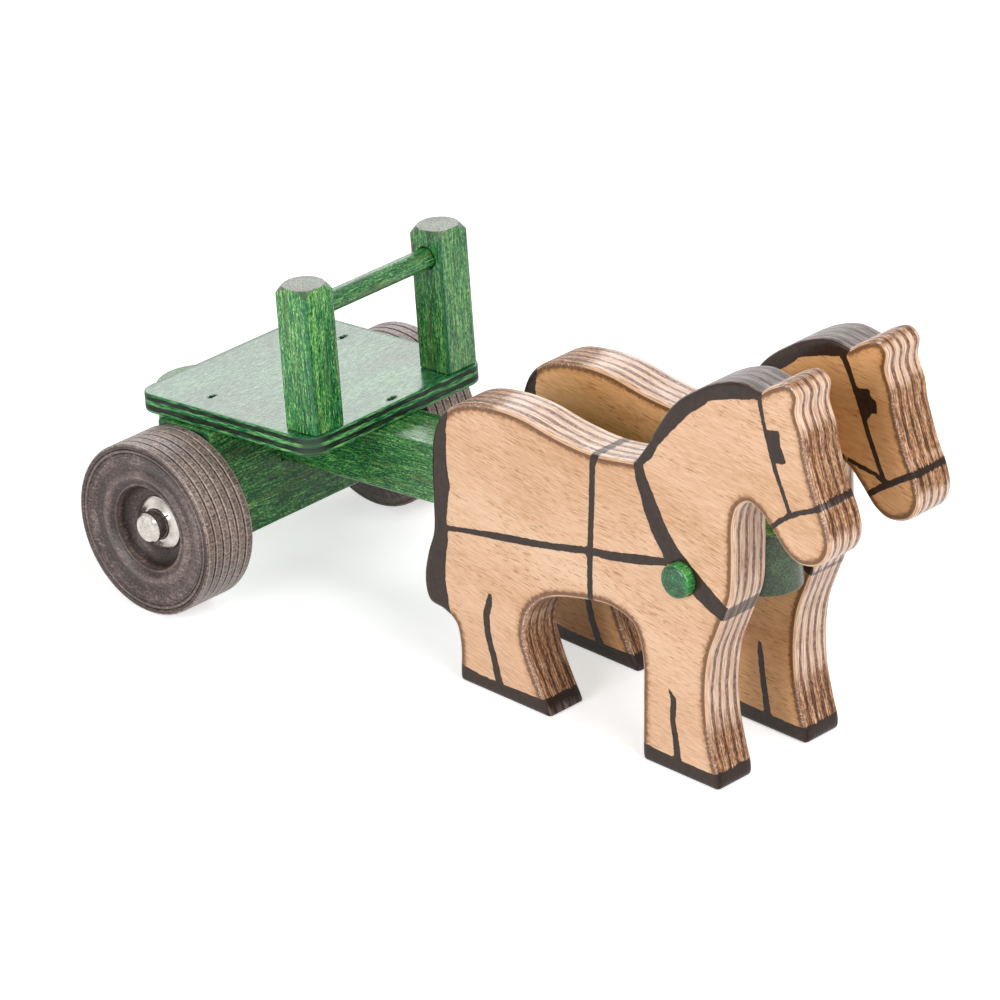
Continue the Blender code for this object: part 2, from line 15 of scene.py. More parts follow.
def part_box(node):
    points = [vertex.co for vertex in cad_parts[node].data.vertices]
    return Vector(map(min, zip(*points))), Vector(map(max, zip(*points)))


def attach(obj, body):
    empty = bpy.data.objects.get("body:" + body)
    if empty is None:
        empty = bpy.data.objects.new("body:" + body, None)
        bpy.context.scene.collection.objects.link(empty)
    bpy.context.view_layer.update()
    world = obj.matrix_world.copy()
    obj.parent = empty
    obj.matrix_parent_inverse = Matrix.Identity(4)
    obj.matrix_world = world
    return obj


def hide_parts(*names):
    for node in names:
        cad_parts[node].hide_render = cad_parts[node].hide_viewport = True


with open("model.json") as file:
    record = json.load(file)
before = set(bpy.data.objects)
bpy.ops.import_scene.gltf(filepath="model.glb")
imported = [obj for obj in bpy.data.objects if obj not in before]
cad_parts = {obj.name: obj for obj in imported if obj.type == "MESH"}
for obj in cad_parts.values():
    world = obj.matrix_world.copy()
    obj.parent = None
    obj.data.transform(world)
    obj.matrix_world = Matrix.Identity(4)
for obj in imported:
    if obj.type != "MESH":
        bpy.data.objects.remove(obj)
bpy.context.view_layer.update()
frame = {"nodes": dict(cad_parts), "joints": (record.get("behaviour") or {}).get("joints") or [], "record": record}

MM = 0.001

# Camera, as solved from the toy's right angles and round wheels in the photograph
CAMERA_AZIMUTH = 42.226
CAMERA_ELEVATION = 26.722
CAMERA_ROLL = 0.455
CAMERA_DISTANCE = 2.7386
CAMERA_AIM = (0.05318, 0.05543, 0.01055)
CAMERA_LENS = 275.25
CAMERA_SHIFT = (0.0040, 0.0142)

# Places taken from the frame
JOINTS = {joint["name"]: joint for joint in frame["joints"]}
MOUNTS = {mount["name"]: mount for mount in frame["record"]["mounts"]}
AXLE = Vector(JOINTS["axle_turn"]["pos_m"])
PIVOT = Vector(JOINTS["horses_rock"]["pos_m"])
DECK_UP = Vector(MOUNTS["deck_top"]["axis"])
CART_TILT = atan2(-DECK_UP.x, DECK_UP.z)
CART = Matrix.Translation(AXLE) @ Matrix.Rotation(-CART_TILT, 4, "Y")

# Room between pieces that move on each other
FIT = 0.3 * MM
SIDES = {"right": -1, "left": 1}
NAILS = ("front", "left", "right")

# Horse outline in millimetres: forward from the dowel, and up from the soles. The curve is smooth
# within each list, and may turn a corner where one list ends and the next begins.
HORSE_OUTLINE = (
    # rump, back and withers
    [(-98.3, 0), (-99.5, 0.5), (-99.95, 1.7), (-100.4, 13.9), (-102.6, 21.2), (-107.7, 24.2),
     (-114.7, 25.7), (-117.2, 32.9), (-115.9, 43.7), (-113.3, 53), (-113.5, 65), (-114.1, 78),
     (-113.4, 89.9), (-109.3, 99.2), (-100.8, 105.8), (-88, 109.3), (-73.5, 110.1), (-56, 107.8),
     (-40, 107.4), (-22, 110.4)],
    # mane
    [(-22, 110.4), (-15.9, 119.8), (-12.7, 126), (-5.2, 137.5), (5, 146.2), (15, 152.3),
     (24, 155.1), (32.3, 154.4)],
    # ear, forehead, nose, chin, throat, chest and the front of the foreleg
    [(32.3, 154.4), (37.5, 158.3), (44.4, 161.1), (48.3, 158.2), (48.1, 151.5), (51.2, 144.2),
     (52.7, 137.3), (57.7, 123.8), (61.9, 115.5), (63.6, 107.4), (60.2, 100.5), (51.4, 97.3),
     (45.3, 99.4), (39, 105.6), (33.5, 110.6), (28.6, 112.3), (24.2, 109), (22.2, 102), (22.4, 90),
     (22, 74.8), (17.5, 61.7), (13.4, 49.6), (12.2, 38), (13.1, 24.2), (16.2, 11.7), (18.3, 5.1),
     (18.55, 1.7), (18.1, 0.5), (16.9, 0)],
    # sole of the fore hoof
    [(16.9, 0), (-14.2, 0)],
    # back of the foreleg, belly and the front of the hind leg
    [(-14.2, 0), (-15.3, 0.5), (-15.75, 1.7), (-16.3, 22), (-17.2, 40), (-21, 49.3), (-31, 52.6),
     (-44, 50.8), (-60, 45.6), (-68.2, 37.9), (-70.6, 28.3), (-67.1, 17.8), (-61.9, 8),
     (-58.3, 1.8), (-58, 0.6), (-59.2, 0)],
    # sole of the hind hoof
    [(-59.2, 0), (-98.3, 0)],
)
# Mesh spacing, edge rounding, and the farthest inset and paint distance that a point keeps
OUTLINE_STEP = 0.9
FACE_STEP = 1.4
HORSE_EDGE_ROUND = 1.5
INSET_LIMIT = 12.0
PAINT_LIMIT = 8.0

# Brush strokes that both horses carry, as (forward, up, width) points in the same millimetres
SHARED_STROKES = (
    # trace, from the tail band to the dowel
    [(-108, 56.3, 1.9), (-95.7, 59, 2), (-81.9, 61.7, 2.9), (-68, 64.3, 2.8), (-58.9, 66.2, 2.6),
     (-40.8, 70.6, 2.8), (-31.8, 71.9, 3.4), (-18.4, 75.2, 3.7), (-7.3, 78.2, 2.9)],
    # girth, over the back and down to the belly
    [(-39, 112, 2.6), (-39.3, 107.4, 3.2), (-40.3, 103, 2.6), (-40.5, 82.4, 2.6), (-40.8, 71, 2.5),
     (-40.7, 59.7, 2.4), (-40, 47, 2.6)],
)
# Filled areas that both horses carry. They run past the outline, so that the paint goes over it.
SHARED_AREAS = (
    # tail
    [(-104.5, 107), (-106.6, 101.6), (-107.2, 93.8), (-106.9, 81.7), (-106, 77), (-105.1, 72.8),
     (-106.1, 67.5), (-106.6, 59.6), (-105.9, 52), (-106.9, 44.1), (-107, 36.4), (-105.6, 29),
     (-104.6, 24.6), (-106, 20), (-128, 18), (-128, 112)],
    # collar
    [(-23.2, 113), (-22.2, 110.4), (-21, 104.6), (-18.9, 99.4), (-16.9, 93.8), (-13.6, 87.6),
     (-9.4, 82), (-4.6, 77.2), (1, 72.9), (6.6, 69.6), (11.6, 67.2), (16.2, 65.3), (19.2, 64.5),
     (19.2, 71.1), (17.2, 72.3), (12.7, 75.3), (8.2, 78.2), (3.7, 81.3), (-1.7, 85.2), (-6.2, 90.1),
     (-9.6, 95.6), (-12.3, 100.4), (-14.3, 103.6), (-16.5, 107.4), (-17.9, 110.8), (-17.4, 113)],
    # mane, over the crest
    [(-21, 110), (-17.8, 110.9), (-14.2, 114.4), (-11.4, 120.2), (-9, 123), (-6.2, 126.6),
     (-1.9, 131.7), (2.4, 136.8), (6.7, 140.1), (10.9, 144.1), (19.6, 147.7), (28.1, 150.2),
     (30.6, 151.6), (32.6, 154.2), (32.9, 160), (16, 168), (-12, 152), (-28, 112)],
    # hind hoof
    [(-104, 6.9), (-99.1, 6.4), (-90.6, 5.5), (-81.3, 5.4), (-72, 5.8), (-59, 6.2), (-55, 7.2),
     (-52, -4), (-104, -4)],
    # fore hoof
    [(-19, 7), (-14.7, 6.6), (-7.9, 6.2), (1.1, 5.9), (10.1, 5.8), (15.6, 5.9), (21, 7.6), (21, -4),
     (-19, -4)],
)
# Strokes that differ from horse to horse: cheek strap, noseband, hind leg and foreleg
OWN_STROKES = {
    "right": (
        [(31.5, 155, 2.6), (32.9, 148.1, 1.8), (34.9, 141.5, 1.8), (37.2, 135, 1.9),
         (39.6, 128.5, 2), (41.9, 123.8, 1.8), (44.2, 119, 1.7), (46.6, 114.2, 1.9)],
        [(35.5, 104.2, 1.6), (37.9, 106.4, 1.7), (42.3, 110.7, 1.9), (46.5, 114, 2.1),
         (50.7, 116.5, 1.9), (57, 119.6, 2), (59.6, 121.4, 2.9), (64, 123.4, 3)],
        [(-86.2, 37.6, 1.8), (-86.6, 34.6, 2.9), (-88, 29.4, 3), (-87, 22, 3), (-83.9, 13.5, 3),
         (-81.5, 5, 3.6)],
        [(-5, 31, 1), (-3.4, 29.6, 1.6), (-2.3, 28, 2.6), (-2.5, 20, 2.6), (-0.9, 12.9, 2.7),
         (0.2, 5, 3.2)],
    ),
    "left": (
        [(28, 153.6, 3), (32.7, 145.5, 2.4), (36, 138.5, 2.2), (38.8, 132.1, 2.2), (42.2, 124, 2.1),
         (45.4, 117.7, 2), (48.7, 111, 2.2)],
        [(30.4, 114.1, 1.6), (38.2, 113, 1.8), (44.8, 112.3, 1.8), (48.7, 110.6, 2)],
        [(40.5, 102.4, 2), (42.1, 103.7, 2.2), (47.1, 107.9, 2.4), (55.5, 113.7, 2.3),
         (60.5, 116.9, 2.6), (66, 119, 3)],
        [(-86, 37, 2), (-84.6, 28, 2.8), (-81.6, 19.9, 2.9), (-79.7, 13.2, 3), (-75.4, 4.4, 3.4)],
        [(-3.3, 31.6, 1.8), (-2.9, 28, 2.6), (-2, 21.6, 2.6), (0.1, 10.8, 2.8), (1.2, 5, 3.2)],
    ),
}
# Eye patches, and the near collar's end over the chest
OWN_AREAS = {
    "right": ([(34.6, 141.3), (40.5, 143.2), (41.2, 141.8), (41.6, 137.6), (42.8, 135.9),
               (44.2, 132.9), (43.2, 131.5), (38.4, 131)],
              [(18.4, 64.7), (20.2, 64.2), (26, 63.4), (26, 69.4), (20.6, 70.4), (18.4, 71.5)]),
    "left": ([(35.1, 140.6), (41.2, 142.6), (42, 139.6), (44.7, 138.6), (44.9, 134.2),
              (42.2, 133.8), (41.4, 131.6), (38.2, 132.2)],),
}

# Places where the saw and the sander scorched the edge, as (forward, up, reach)
SCORCHED = ((52, 138, 11), (56, 126, 10), (60, 115, 8), (43, 161, 5), (-66, 41, 12), (-70, 24, 16),
            (-64, 8, 13), (15, 9, 19), (-101, 20, 9), (-96, 106, 15))

# Cart pieces, in metres
BLOCK_EDGE_ROUND = 1.0 * MM
AXLE_BORE_RADIUS = 5.85 * MM
TONGUE_EDGE_ROUND = 1.2 * MM
HITCH_END_RADIUS = 15.5 * MM
HITCH_LEDGE_ROUND = 0.9 * MM
POST_EDGE_ROUND = 0.9 * MM
POST_CAP_RADIUS = 7.4 * MM
POST_CAP_EASE = 0.45 * MM
BAR_SOCKET_DEPTH = 9.0 * MM
BAR_SOCKET_EASE = 0.5 * MM
BAR_END_EASE = 0.4 * MM
PILOT_RADIUS = 2.05 * MM
DOWEL_END_ROUND = 1.5 * MM
ROD_RADIUS = 5.55 * MM
ROD_CHAMFER = 0.8 * MM
NUT_SHEET = 0.6 * MM
NUT_RISE = 0.45 * MM
NUT_COLLAR = 1.2 * MM
NUT_RIM = 1.6 * MM
NUT_SLOT_HALF = 0.3 * MM

# Deck and dowel hole, in millimetres
DECK_CORNER_RADIUS = 7.5
DECK_EDGE_ROUND = 0.8
DECK_MESH_STEP = 2.2
NAIL_HOLE_RADIUS = 1.15
DENT_RINGS = (1.5, 2.0, 2.6, 3.3, 4.2)
DENT_REACH = 1.9
DENT_DEPTH = 0.7
DOWEL_HOLE_RADIUS = 6.4

# Wheel, in millimetres
WHEEL_RADIUS = 31.75
TREAD_GROOVES = 5
GROOVE_WIDTH = 0.8
GROOVE_DEPTH = 0.9
# How wide a groove's floor is, as a share of its mouth
GROOVE_FLOOR = 0.45
RIB_EASE = 0.18
RIM_ROUND = 0.8
# The two scored lines, as (radius, drop), and their size
SCORED_LINES = ((29.7, 0.0), (28.2, 0.15))
SCORE_WIDTH = 0.4
SCORE_DEPTH = 0.5
# From the scored lines to the hub: a dished wall, a raised band, a valley and a sharp ring,
# as (radius, drop)
WALL_SHAPE = ((27.4, 0.45), (26.0, 0.60), (24.4, 0.95), (23.2, 1.40), (22.3, 1.55), (21.5, 1.30),
              (20.7, 0.85), (19.9, 0.62), (19.2, 0.66), (18.6, 0.95), (18.0, 1.45), (17.4, 1.95),
              (16.9, 2.15), (16.5, 2.10), (16.2, 1.90), (15.95, 1.82), (15.75, 1.95))
RING_RADIUS = 15.7
RING_DROP = 2.2
HUB_FLOOR_RADIUS = 11.0
HUB_FLOOR_DROP = 8.4
WHEEL_SEGMENTS = 160
# Painted shade in the wall's valleys and painted highlight on its crests and rings, as (radius, reach)
WALL_PAINTED_SHADE = ((17.3, 1.5), (22.6, 2.2))
WALL_PAINTED_HIGHLIGHTS = ((19.8, 1.8), (15.9, 0.7), (29.0, 0.8))

# Stain and veneer
GRAIN_TURN = {"X": (0, 0, 0), "Y": (0, 0, pi / 2), "Z": (0, pi / 2, 0)}
GREEN_STAIN = ((0.39, (0.003, 0.026, 0.010)), (0.45, (0.007, 0.080, 0.024)),
               (0.505, (0.030, 0.200, 0.048)), (0.565, (0.130, 0.345, 0.090)),
               (0.63, (0.36, 0.58, 0.20)))
# How light each post's green is, and how each horse's veneer differs from plain birch. The left
# horse's is warmer and darker: partly its own tone, partly painted shade for the dim, warm light
# on the far horse.
POST_STAIN = {"right": 1.42, "left": 1.12}
HORSE_TONE_AND_SHADE = {"right": (1.0, 1.0, 1.0), "left": (1.05, 0.92, 0.65)}
HORSE_FIGURE = {"right": 1.0, "left": 1.7}
# Painted shade: how much darker a horse's right face is drawn round its neck, where the near horse
# shades the far one, and over which distances it fades
HORSE_NECK_SHADE = {"right": 0.0, "left": 0.6}
NECK = (20.0, 48.0)
NECK_REACH = (8.0, 42.0)
# Thickness of one ply in the horses' edge, in millimetres
PLY = 1.9

# Lamps that face the toy's middle, as (azimuth, elevation, distance, size, power)
TOY_MIDDLE = (0.11, 0.0, 0.06)
SOFTBOXES = {
    "near_softbox": (0.0, 20.0, 1.7, (0.9, 0.9), 18.5),
    "front_softbox": (75.0, 30.0, 1.7, (0.9, 0.9), 11.5),
    "high_softbox": (100.0, 60.0, 1.7, (0.9, 0.9), 12.5),
    "back_softbox": (-138.0, 25.0, 2.0, (2.4, 0.9), 21.0),
}


# Mesh building

def cart_box(node):
    """Lowest and highest corner of a CAD node in the cart's own tilted frame."""
    back = CART.inverted()
    points = np.array([back @ v.co for v in frame["nodes"][node].data.vertices])
    return Vector(points.min(0)), Vector(points.max(0))


def add_object(name, data):
    obj = bpy.data.objects.new(name, data)
    bpy.context.scene.collection.objects.link(obj)
    return obj


def as_mesh(bm, name):
    """Turn a bmesh into a mesh whose faces all look outwards."""
    bmesh.ops.recalc_face_normals(bm, faces=bm.faces)
    mesh = bpy.data.meshes.new(name)
    bm.to_mesh(mesh)
    bm.free()
    return mesh


def add_piece(name, shape, material, body, node, matrix, angle=40.0):
    """Turn a mesh or bmesh into a smooth-shaded piece that stands for a CAD node."""
    mesh = as_mesh(shape, name) if isinstance(shape, bmesh.types.BMesh) else shape
    mesh.shade_smooth()
    mesh.set_sharp_from_angle(angle=radians(angle))
    mesh.materials.append(material)
    piece = add_object(name, mesh)
    piece.matrix_world = matrix
    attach(piece, body)
    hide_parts(node)


def cut(bm, cutter):
    """Cut one bmesh out of another and give back the result."""
    base, tool = (add_object("cut_work", as_mesh(source, "cut_work")) for source in (bm, cutter))
    modifier = base.modifiers.new("cut", "BOOLEAN")
    modifier.operation = "DIFFERENCE"
    modifier.solver = "EXACT"
    modifier.object = tool
    bpy.context.view_layer.update()
    result = bmesh.new()
    result.from_mesh(base.evaluated_get(bpy.context.evaluated_depsgraph_get()).data)
    for mesh in (base.data, tool.data):
        bpy.data.meshes.remove(mesh)
    return result


def box(low, high):
    bm = bmesh.new()
    bmesh.ops.create_cube(bm, size=1.0)
    low, high = Vector(low), Vector(high)
    bmesh.ops.scale(bm, vec=high - low, verts=bm.verts)
    return moved(bm, Matrix.Translation((low + high) / 2))


def moved(bm, matrix):
    bmesh.ops.transform(bm, matrix=matrix, verts=bm.verts)
    return bm


def round_edges(bm, edges, radius, segments):
    bmesh.ops.bevel(bm, geom=list(edges), offset=radius, offset_type="OFFSET",
                    segments=segments, profile=0.5, affect="EDGES", clamp_overlap=True)


def turned(profile, segments):
    """Spin a closed (radius, height) profile in metres round the local Y axis."""
    bm = bmesh.new()
    verts = [bm.verts.new((r, y, 0.0)) for r, y in profile]
    on_axis = profile[0][0] < 1e-9 and profile[-1][0] < 1e-9
    pairs = zip(verts, verts[1:] if on_axis else verts[1:] + verts[:1])
    edges = [bm.edges.new(pair) for pair in pairs]
    bmesh.ops.spin(bm, geom=verts + edges, cent=(0, 0, 0), axis=(0, 1, 0), dvec=(0, 0, 0),
                   angle=2 * pi, steps=segments, use_duplicate=False)
    bmesh.ops.remove_doubles(bm, verts=bm.verts, dist=1e-7)
    return bm


def mirrored(profile):
    """A whole profile from its upper half, which runs from the axis outwards."""
    return [(r, -y) for r, y in profile] + [(r, y) for r, y in reversed(profile)]


def cylinder(radius, half, segments=64):
    return turned(mirrored([(0.0, half), (radius, half)]), segments)


def arc(centre, radius, start, end, steps, height=None):
    """Points on an arc between two angles in degrees, or on an ellipse's if height is given."""
    angles = [radians(start + (end - start) * i / steps) for i in range(steps + 1)]
    high = radius if height is None else height
    return [(centre[0] + radius * cos(a), centre[1] + high * sin(a)) for a in angles]


def circle(x, y, radius, count):
    return np.array([(x + radius * cos(2 * pi * i / count), y + radius * sin(2 * pi * i / count))
                     for i in range(count)])


def rounded_rectangle(low, high, radius, corner_steps, side_steps=1):
    """A rectangle's outline, anticlockwise, with round corners and points along its sides."""
    corners = []
    for i, (right, top) in enumerate(((1, 1), (0, 1), (0, 0), (1, 0))):
        centre = (high[0] - radius if right else low[0] + radius,
                  high[1] - radius if top else low[1] + radius)
        corners.append(arc(centre, radius, 90 * i, 90 * i + 90, corner_steps))
    outline = []
    for corner, following in zip(corners, corners[1:] + corners[:1]):
        start, end = np.array(corner[-1]), np.array(following[0])
        outline += corner
        outline += [tuple(start + (end - start) * i / side_steps) for i in range(1, side_steps)]
    return outline


def smooth_run(points, step):
    """A centripetal Catmull-Rom curve through points, without its last point."""
    def between(a, b, t, start, end):
        return a + (b - a) * ((t - start) / (end - start))

    knots = [np.array(p, float) for p in points]
    knots = [2 * knots[0] - knots[1]] + knots + [2 * knots[-1] - knots[-2]]
    curve = []
    for p0, p1, p2, p3 in zip(knots, knots[1:], knots[2:], knots[3:]):
        t1 = sqrt(np.linalg.norm(p1 - p0))
        t2 = t1 + sqrt(np.linalg.norm(p2 - p1))
        t3 = t2 + sqrt(np.linalg.norm(p3 - p2))
        count = max(2, ceil(np.linalg.norm(p2 - p1) / step))
        for i in range(count):
            t = t1 + (t2 - t1) * i / count
            middle = between(p1, p2, t, t1, t2)
            before = between(between(p0, p1, t, 0.0, t1), middle, t, 0.0, t2)
            after = between(middle, between(p2, p3, t, t2, t3), t, t1, t3)
            curve.append(between(before, after, t, t1, t2))
    return curve


def inset_loop(loop, distance):
    """Move a closed anticlockwise loop of points inwards, square to its edges."""
    def unit(vectors):
        return vectors / np.linalg.norm(vectors, axis=1)[:, None]

    step = unit(np.roll(loop, -1, axis=0) - loop)
    inward = np.stack([-step[:, 1], step[:, 0]], axis=1)
    middle = unit(inward + np.roll(inward, 1, axis=0))
    sharpest = 0.6
    stretch = np.maximum((middle * inward).sum(1), sharpest)
    return loop + middle * (distance / stretch)[:, None]


def distance_to_line(points, line, widths=None):
    """Distance of each point to an open line, less half the line's width there."""
    best = np.full(len(points), np.inf)
    for i in range(len(line) - 1):
        start, step = line[i], line[i + 1] - line[i]
        share = np.clip((points - start) @ step / (step @ step), 0.0, 1.0)
        gap = np.linalg.norm(points - start - share[:, None] * step, axis=1)
        if widths is not None:
            gap = gap - (widths[i] + (widths[i + 1] - widths[i]) * share) / 2
        best = np.minimum(best, gap)
    return best


def inside(points, loop):
    """Which points lie inside a closed loop, by counting the edges to their right."""
    result = np.zeros(len(points), bool)
    for start, end in zip(loop, np.roll(loop, -1, axis=0)):
        if start[1] == end[1]:
            continue
        spans = (start[1] > points[:, 1]) != (end[1] > points[:, 1])
        share = (points[:, 1] - start[1]) / (end[1] - start[1])
        result ^= spans & (points[:, 0] < start[0] + share * (end[0] - start[0]))
    return result


def distance_to_area(points, loop):
    """Distance of each point to a closed loop, negative inside it."""
    gap = distance_to_line(points, np.vstack([loop, loop[:1]]))
    return np.where(inside(points, loop), -gap, gap)


def hex_grid(low, high, step):
    """Staggered points that fill a rectangle, as the corners of equal-sided triangles."""
    rows = []
    row_step = 0.866 * step
    for i, y in enumerate(np.arange(low[1], high[1], row_step)):
        xs = np.arange(low[0] + (i % 2) * step / 2, high[0], step)
        rows.append(np.stack([xs, np.full(len(xs), y)], axis=1))
    return np.vstack(rows)


def strip(first, second, count):
    """Faces between two closed rings of points that start at the given numbers."""
    return [(first + i, first + (i + 1) % count, second + (i + 1) % count, second + i)
            for i in range(count)]


def slab_levels(low, high, rounding, rows):
    """(inset, height) of each ring of points up a board's rounded rim."""
    steps = 4
    turns = [pi / 2 * i / steps for i in range(steps + 1)]
    foot = [(rounding * (1 - sin(a)), low + rounding * (1 - cos(a))) for a in turns]
    straight = high - low - 2 * rounding
    wall = [(0.0, low + rounding + straight * i / rows) for i in range(1, rows)]
    return foot + wall + [(inset, high + low - height) for inset, height in reversed(foot)]


def slab(outline, low, high, rounding, face_step, rows, holes, dense=()):
    """A flat board with finely meshed faces and a rounded rim, in the outline's own unit.

    Gives points as (u, v, height), faces, how far each point lies inside the outline, and how
    far along it. Holes are loops, and dense holds more points for the faces.
    """
    levels = slab_levels(low, high, rounding, rows)
    count = len(outline)
    lengths = np.linalg.norm(outline - np.roll(outline, 1, axis=0), axis=1)
    lengths[0] = 0.0
    points, insets, runs, faces = [], [], [], []

    def add_points(flat, height, inset, along=0.0):
        points.append(np.column_stack([flat, np.full(len(flat), height)]))
        insets.append(np.full(len(flat), inset))
        runs.append(np.full(len(flat), along))

    for inset, height in levels:
        ring = inset_loop(outline, inset) if inset > 1e-6 else outline
        add_points(ring, height, inset, np.cumsum(lengths))
    for level in range(len(levels) - 1):
        faces += strip(level * count, (level + 1) * count, count)
    total = count * len(levels)
    for loop in holes:
        for height in (low, high):
            add_points(loop, height, INSET_LIMIT)
        faces += strip(total + len(loop), total, len(loop))
        total += 2 * len(loop)

    # One flat mesh serves both faces. Its rim and holes are joined to the rings above.
    rim = points[0][:, :2]
    grid = np.vstack([hex_grid(rim.min(0), rim.max(0), face_step), *dense])
    rim_clearance, hole_clearance = 0.55 * face_step, 0.25 * face_step
    keep = distance_to_area(grid, rim) < -rim_clearance
    for loop in holes:
        keep &= distance_to_area(grid, loop) > hole_clearance
    loops = [rim, *holes]
    edges, first = [], 0
    for loop in loops:
        edges += [(first + i, first + (i + 1) % len(loop)) for i in range(len(loop))]
        first += len(loop)
    flat = [Vector(p) for p in np.vstack(loops + [grid[keep]])]
    verts, _, tris, source, _, _ = delaunay_2d_cdt(flat, edges, [], 1, 1e-6)
    flat_points = np.array([tuple(v) for v in verts])
    centres = np.array([flat_points[list(t)].mean(0) for t in tris])
    solid = inside(centres, rim)
    for loop in holes:
        solid &= ~inside(centres, loop)
    inner_insets = np.minimum(np.abs(distance_to_area(flat_points, outline)), INSET_LIMIT)
    for top in (False, True):
        ids = [(count * (len(levels) - 1) if top else 0) + i for i in range(count)]
        offset = count * len(levels)
        for loop in holes:
            n = len(loop)
            ids += [offset + (n if top else 0) + i for i in range(n)]
            offset += 2 * n
        new, lookup = [], []
        for i, origin in enumerate(source):
            known = [ids[j] for j in origin if j < len(ids)]
            lookup.append(known[0] if known else total + len(new))
            if not known:
                new.append(i)
        add_points(flat_points[new], high if top else low, inner_insets[new])
        total += len(new)
        for tri, whole in zip(tris, solid):
            if whole:
                corners = [lookup[i] for i in tri]
                faces.append(corners if top else corners[::-1])
    return np.vstack(points), faces, np.concatenate(insets), np.concatenate(runs)


def mesh_from(name, points, faces, **attributes):
    """A mesh of points and faces, with a number for each point under each attribute's name."""
    mesh = bpy.data.meshes.new(name)
    mesh.from_pydata([tuple(p) for p in points], [], [tuple(f) for f in faces])
    mesh.validate()
    for key, values in attributes.items():
        layer = mesh.attributes.new(key, "FLOAT", "POINT")
        layer.data.foreach_set("value", np.ascontiguousarray(values, dtype=np.float32))
    bm = bmesh.new()
    bm.from_mesh(mesh)
    bmesh.ops.recalc_face_normals(bm, faces=bm.faces)
    bm.to_mesh(mesh)
    bm.free()
    return mesh


# Materials

def feed(node, inputs):
    """Set a node's inputs to values, or link them to other nodes' outputs."""
    for key, value in dict(inputs).items():
        if isinstance(value, bpy.types.NodeSocket):
            node.id_data.links.new(value, node.inputs[key])
        else:
            node.inputs[key].default_value = value


def add_node(tree, kind, inputs=(), **settings):
    node = tree.nodes.new(kind)
    for key, value in settings.items():
        setattr(node, key, value)
    feed(node, inputs)
    return node


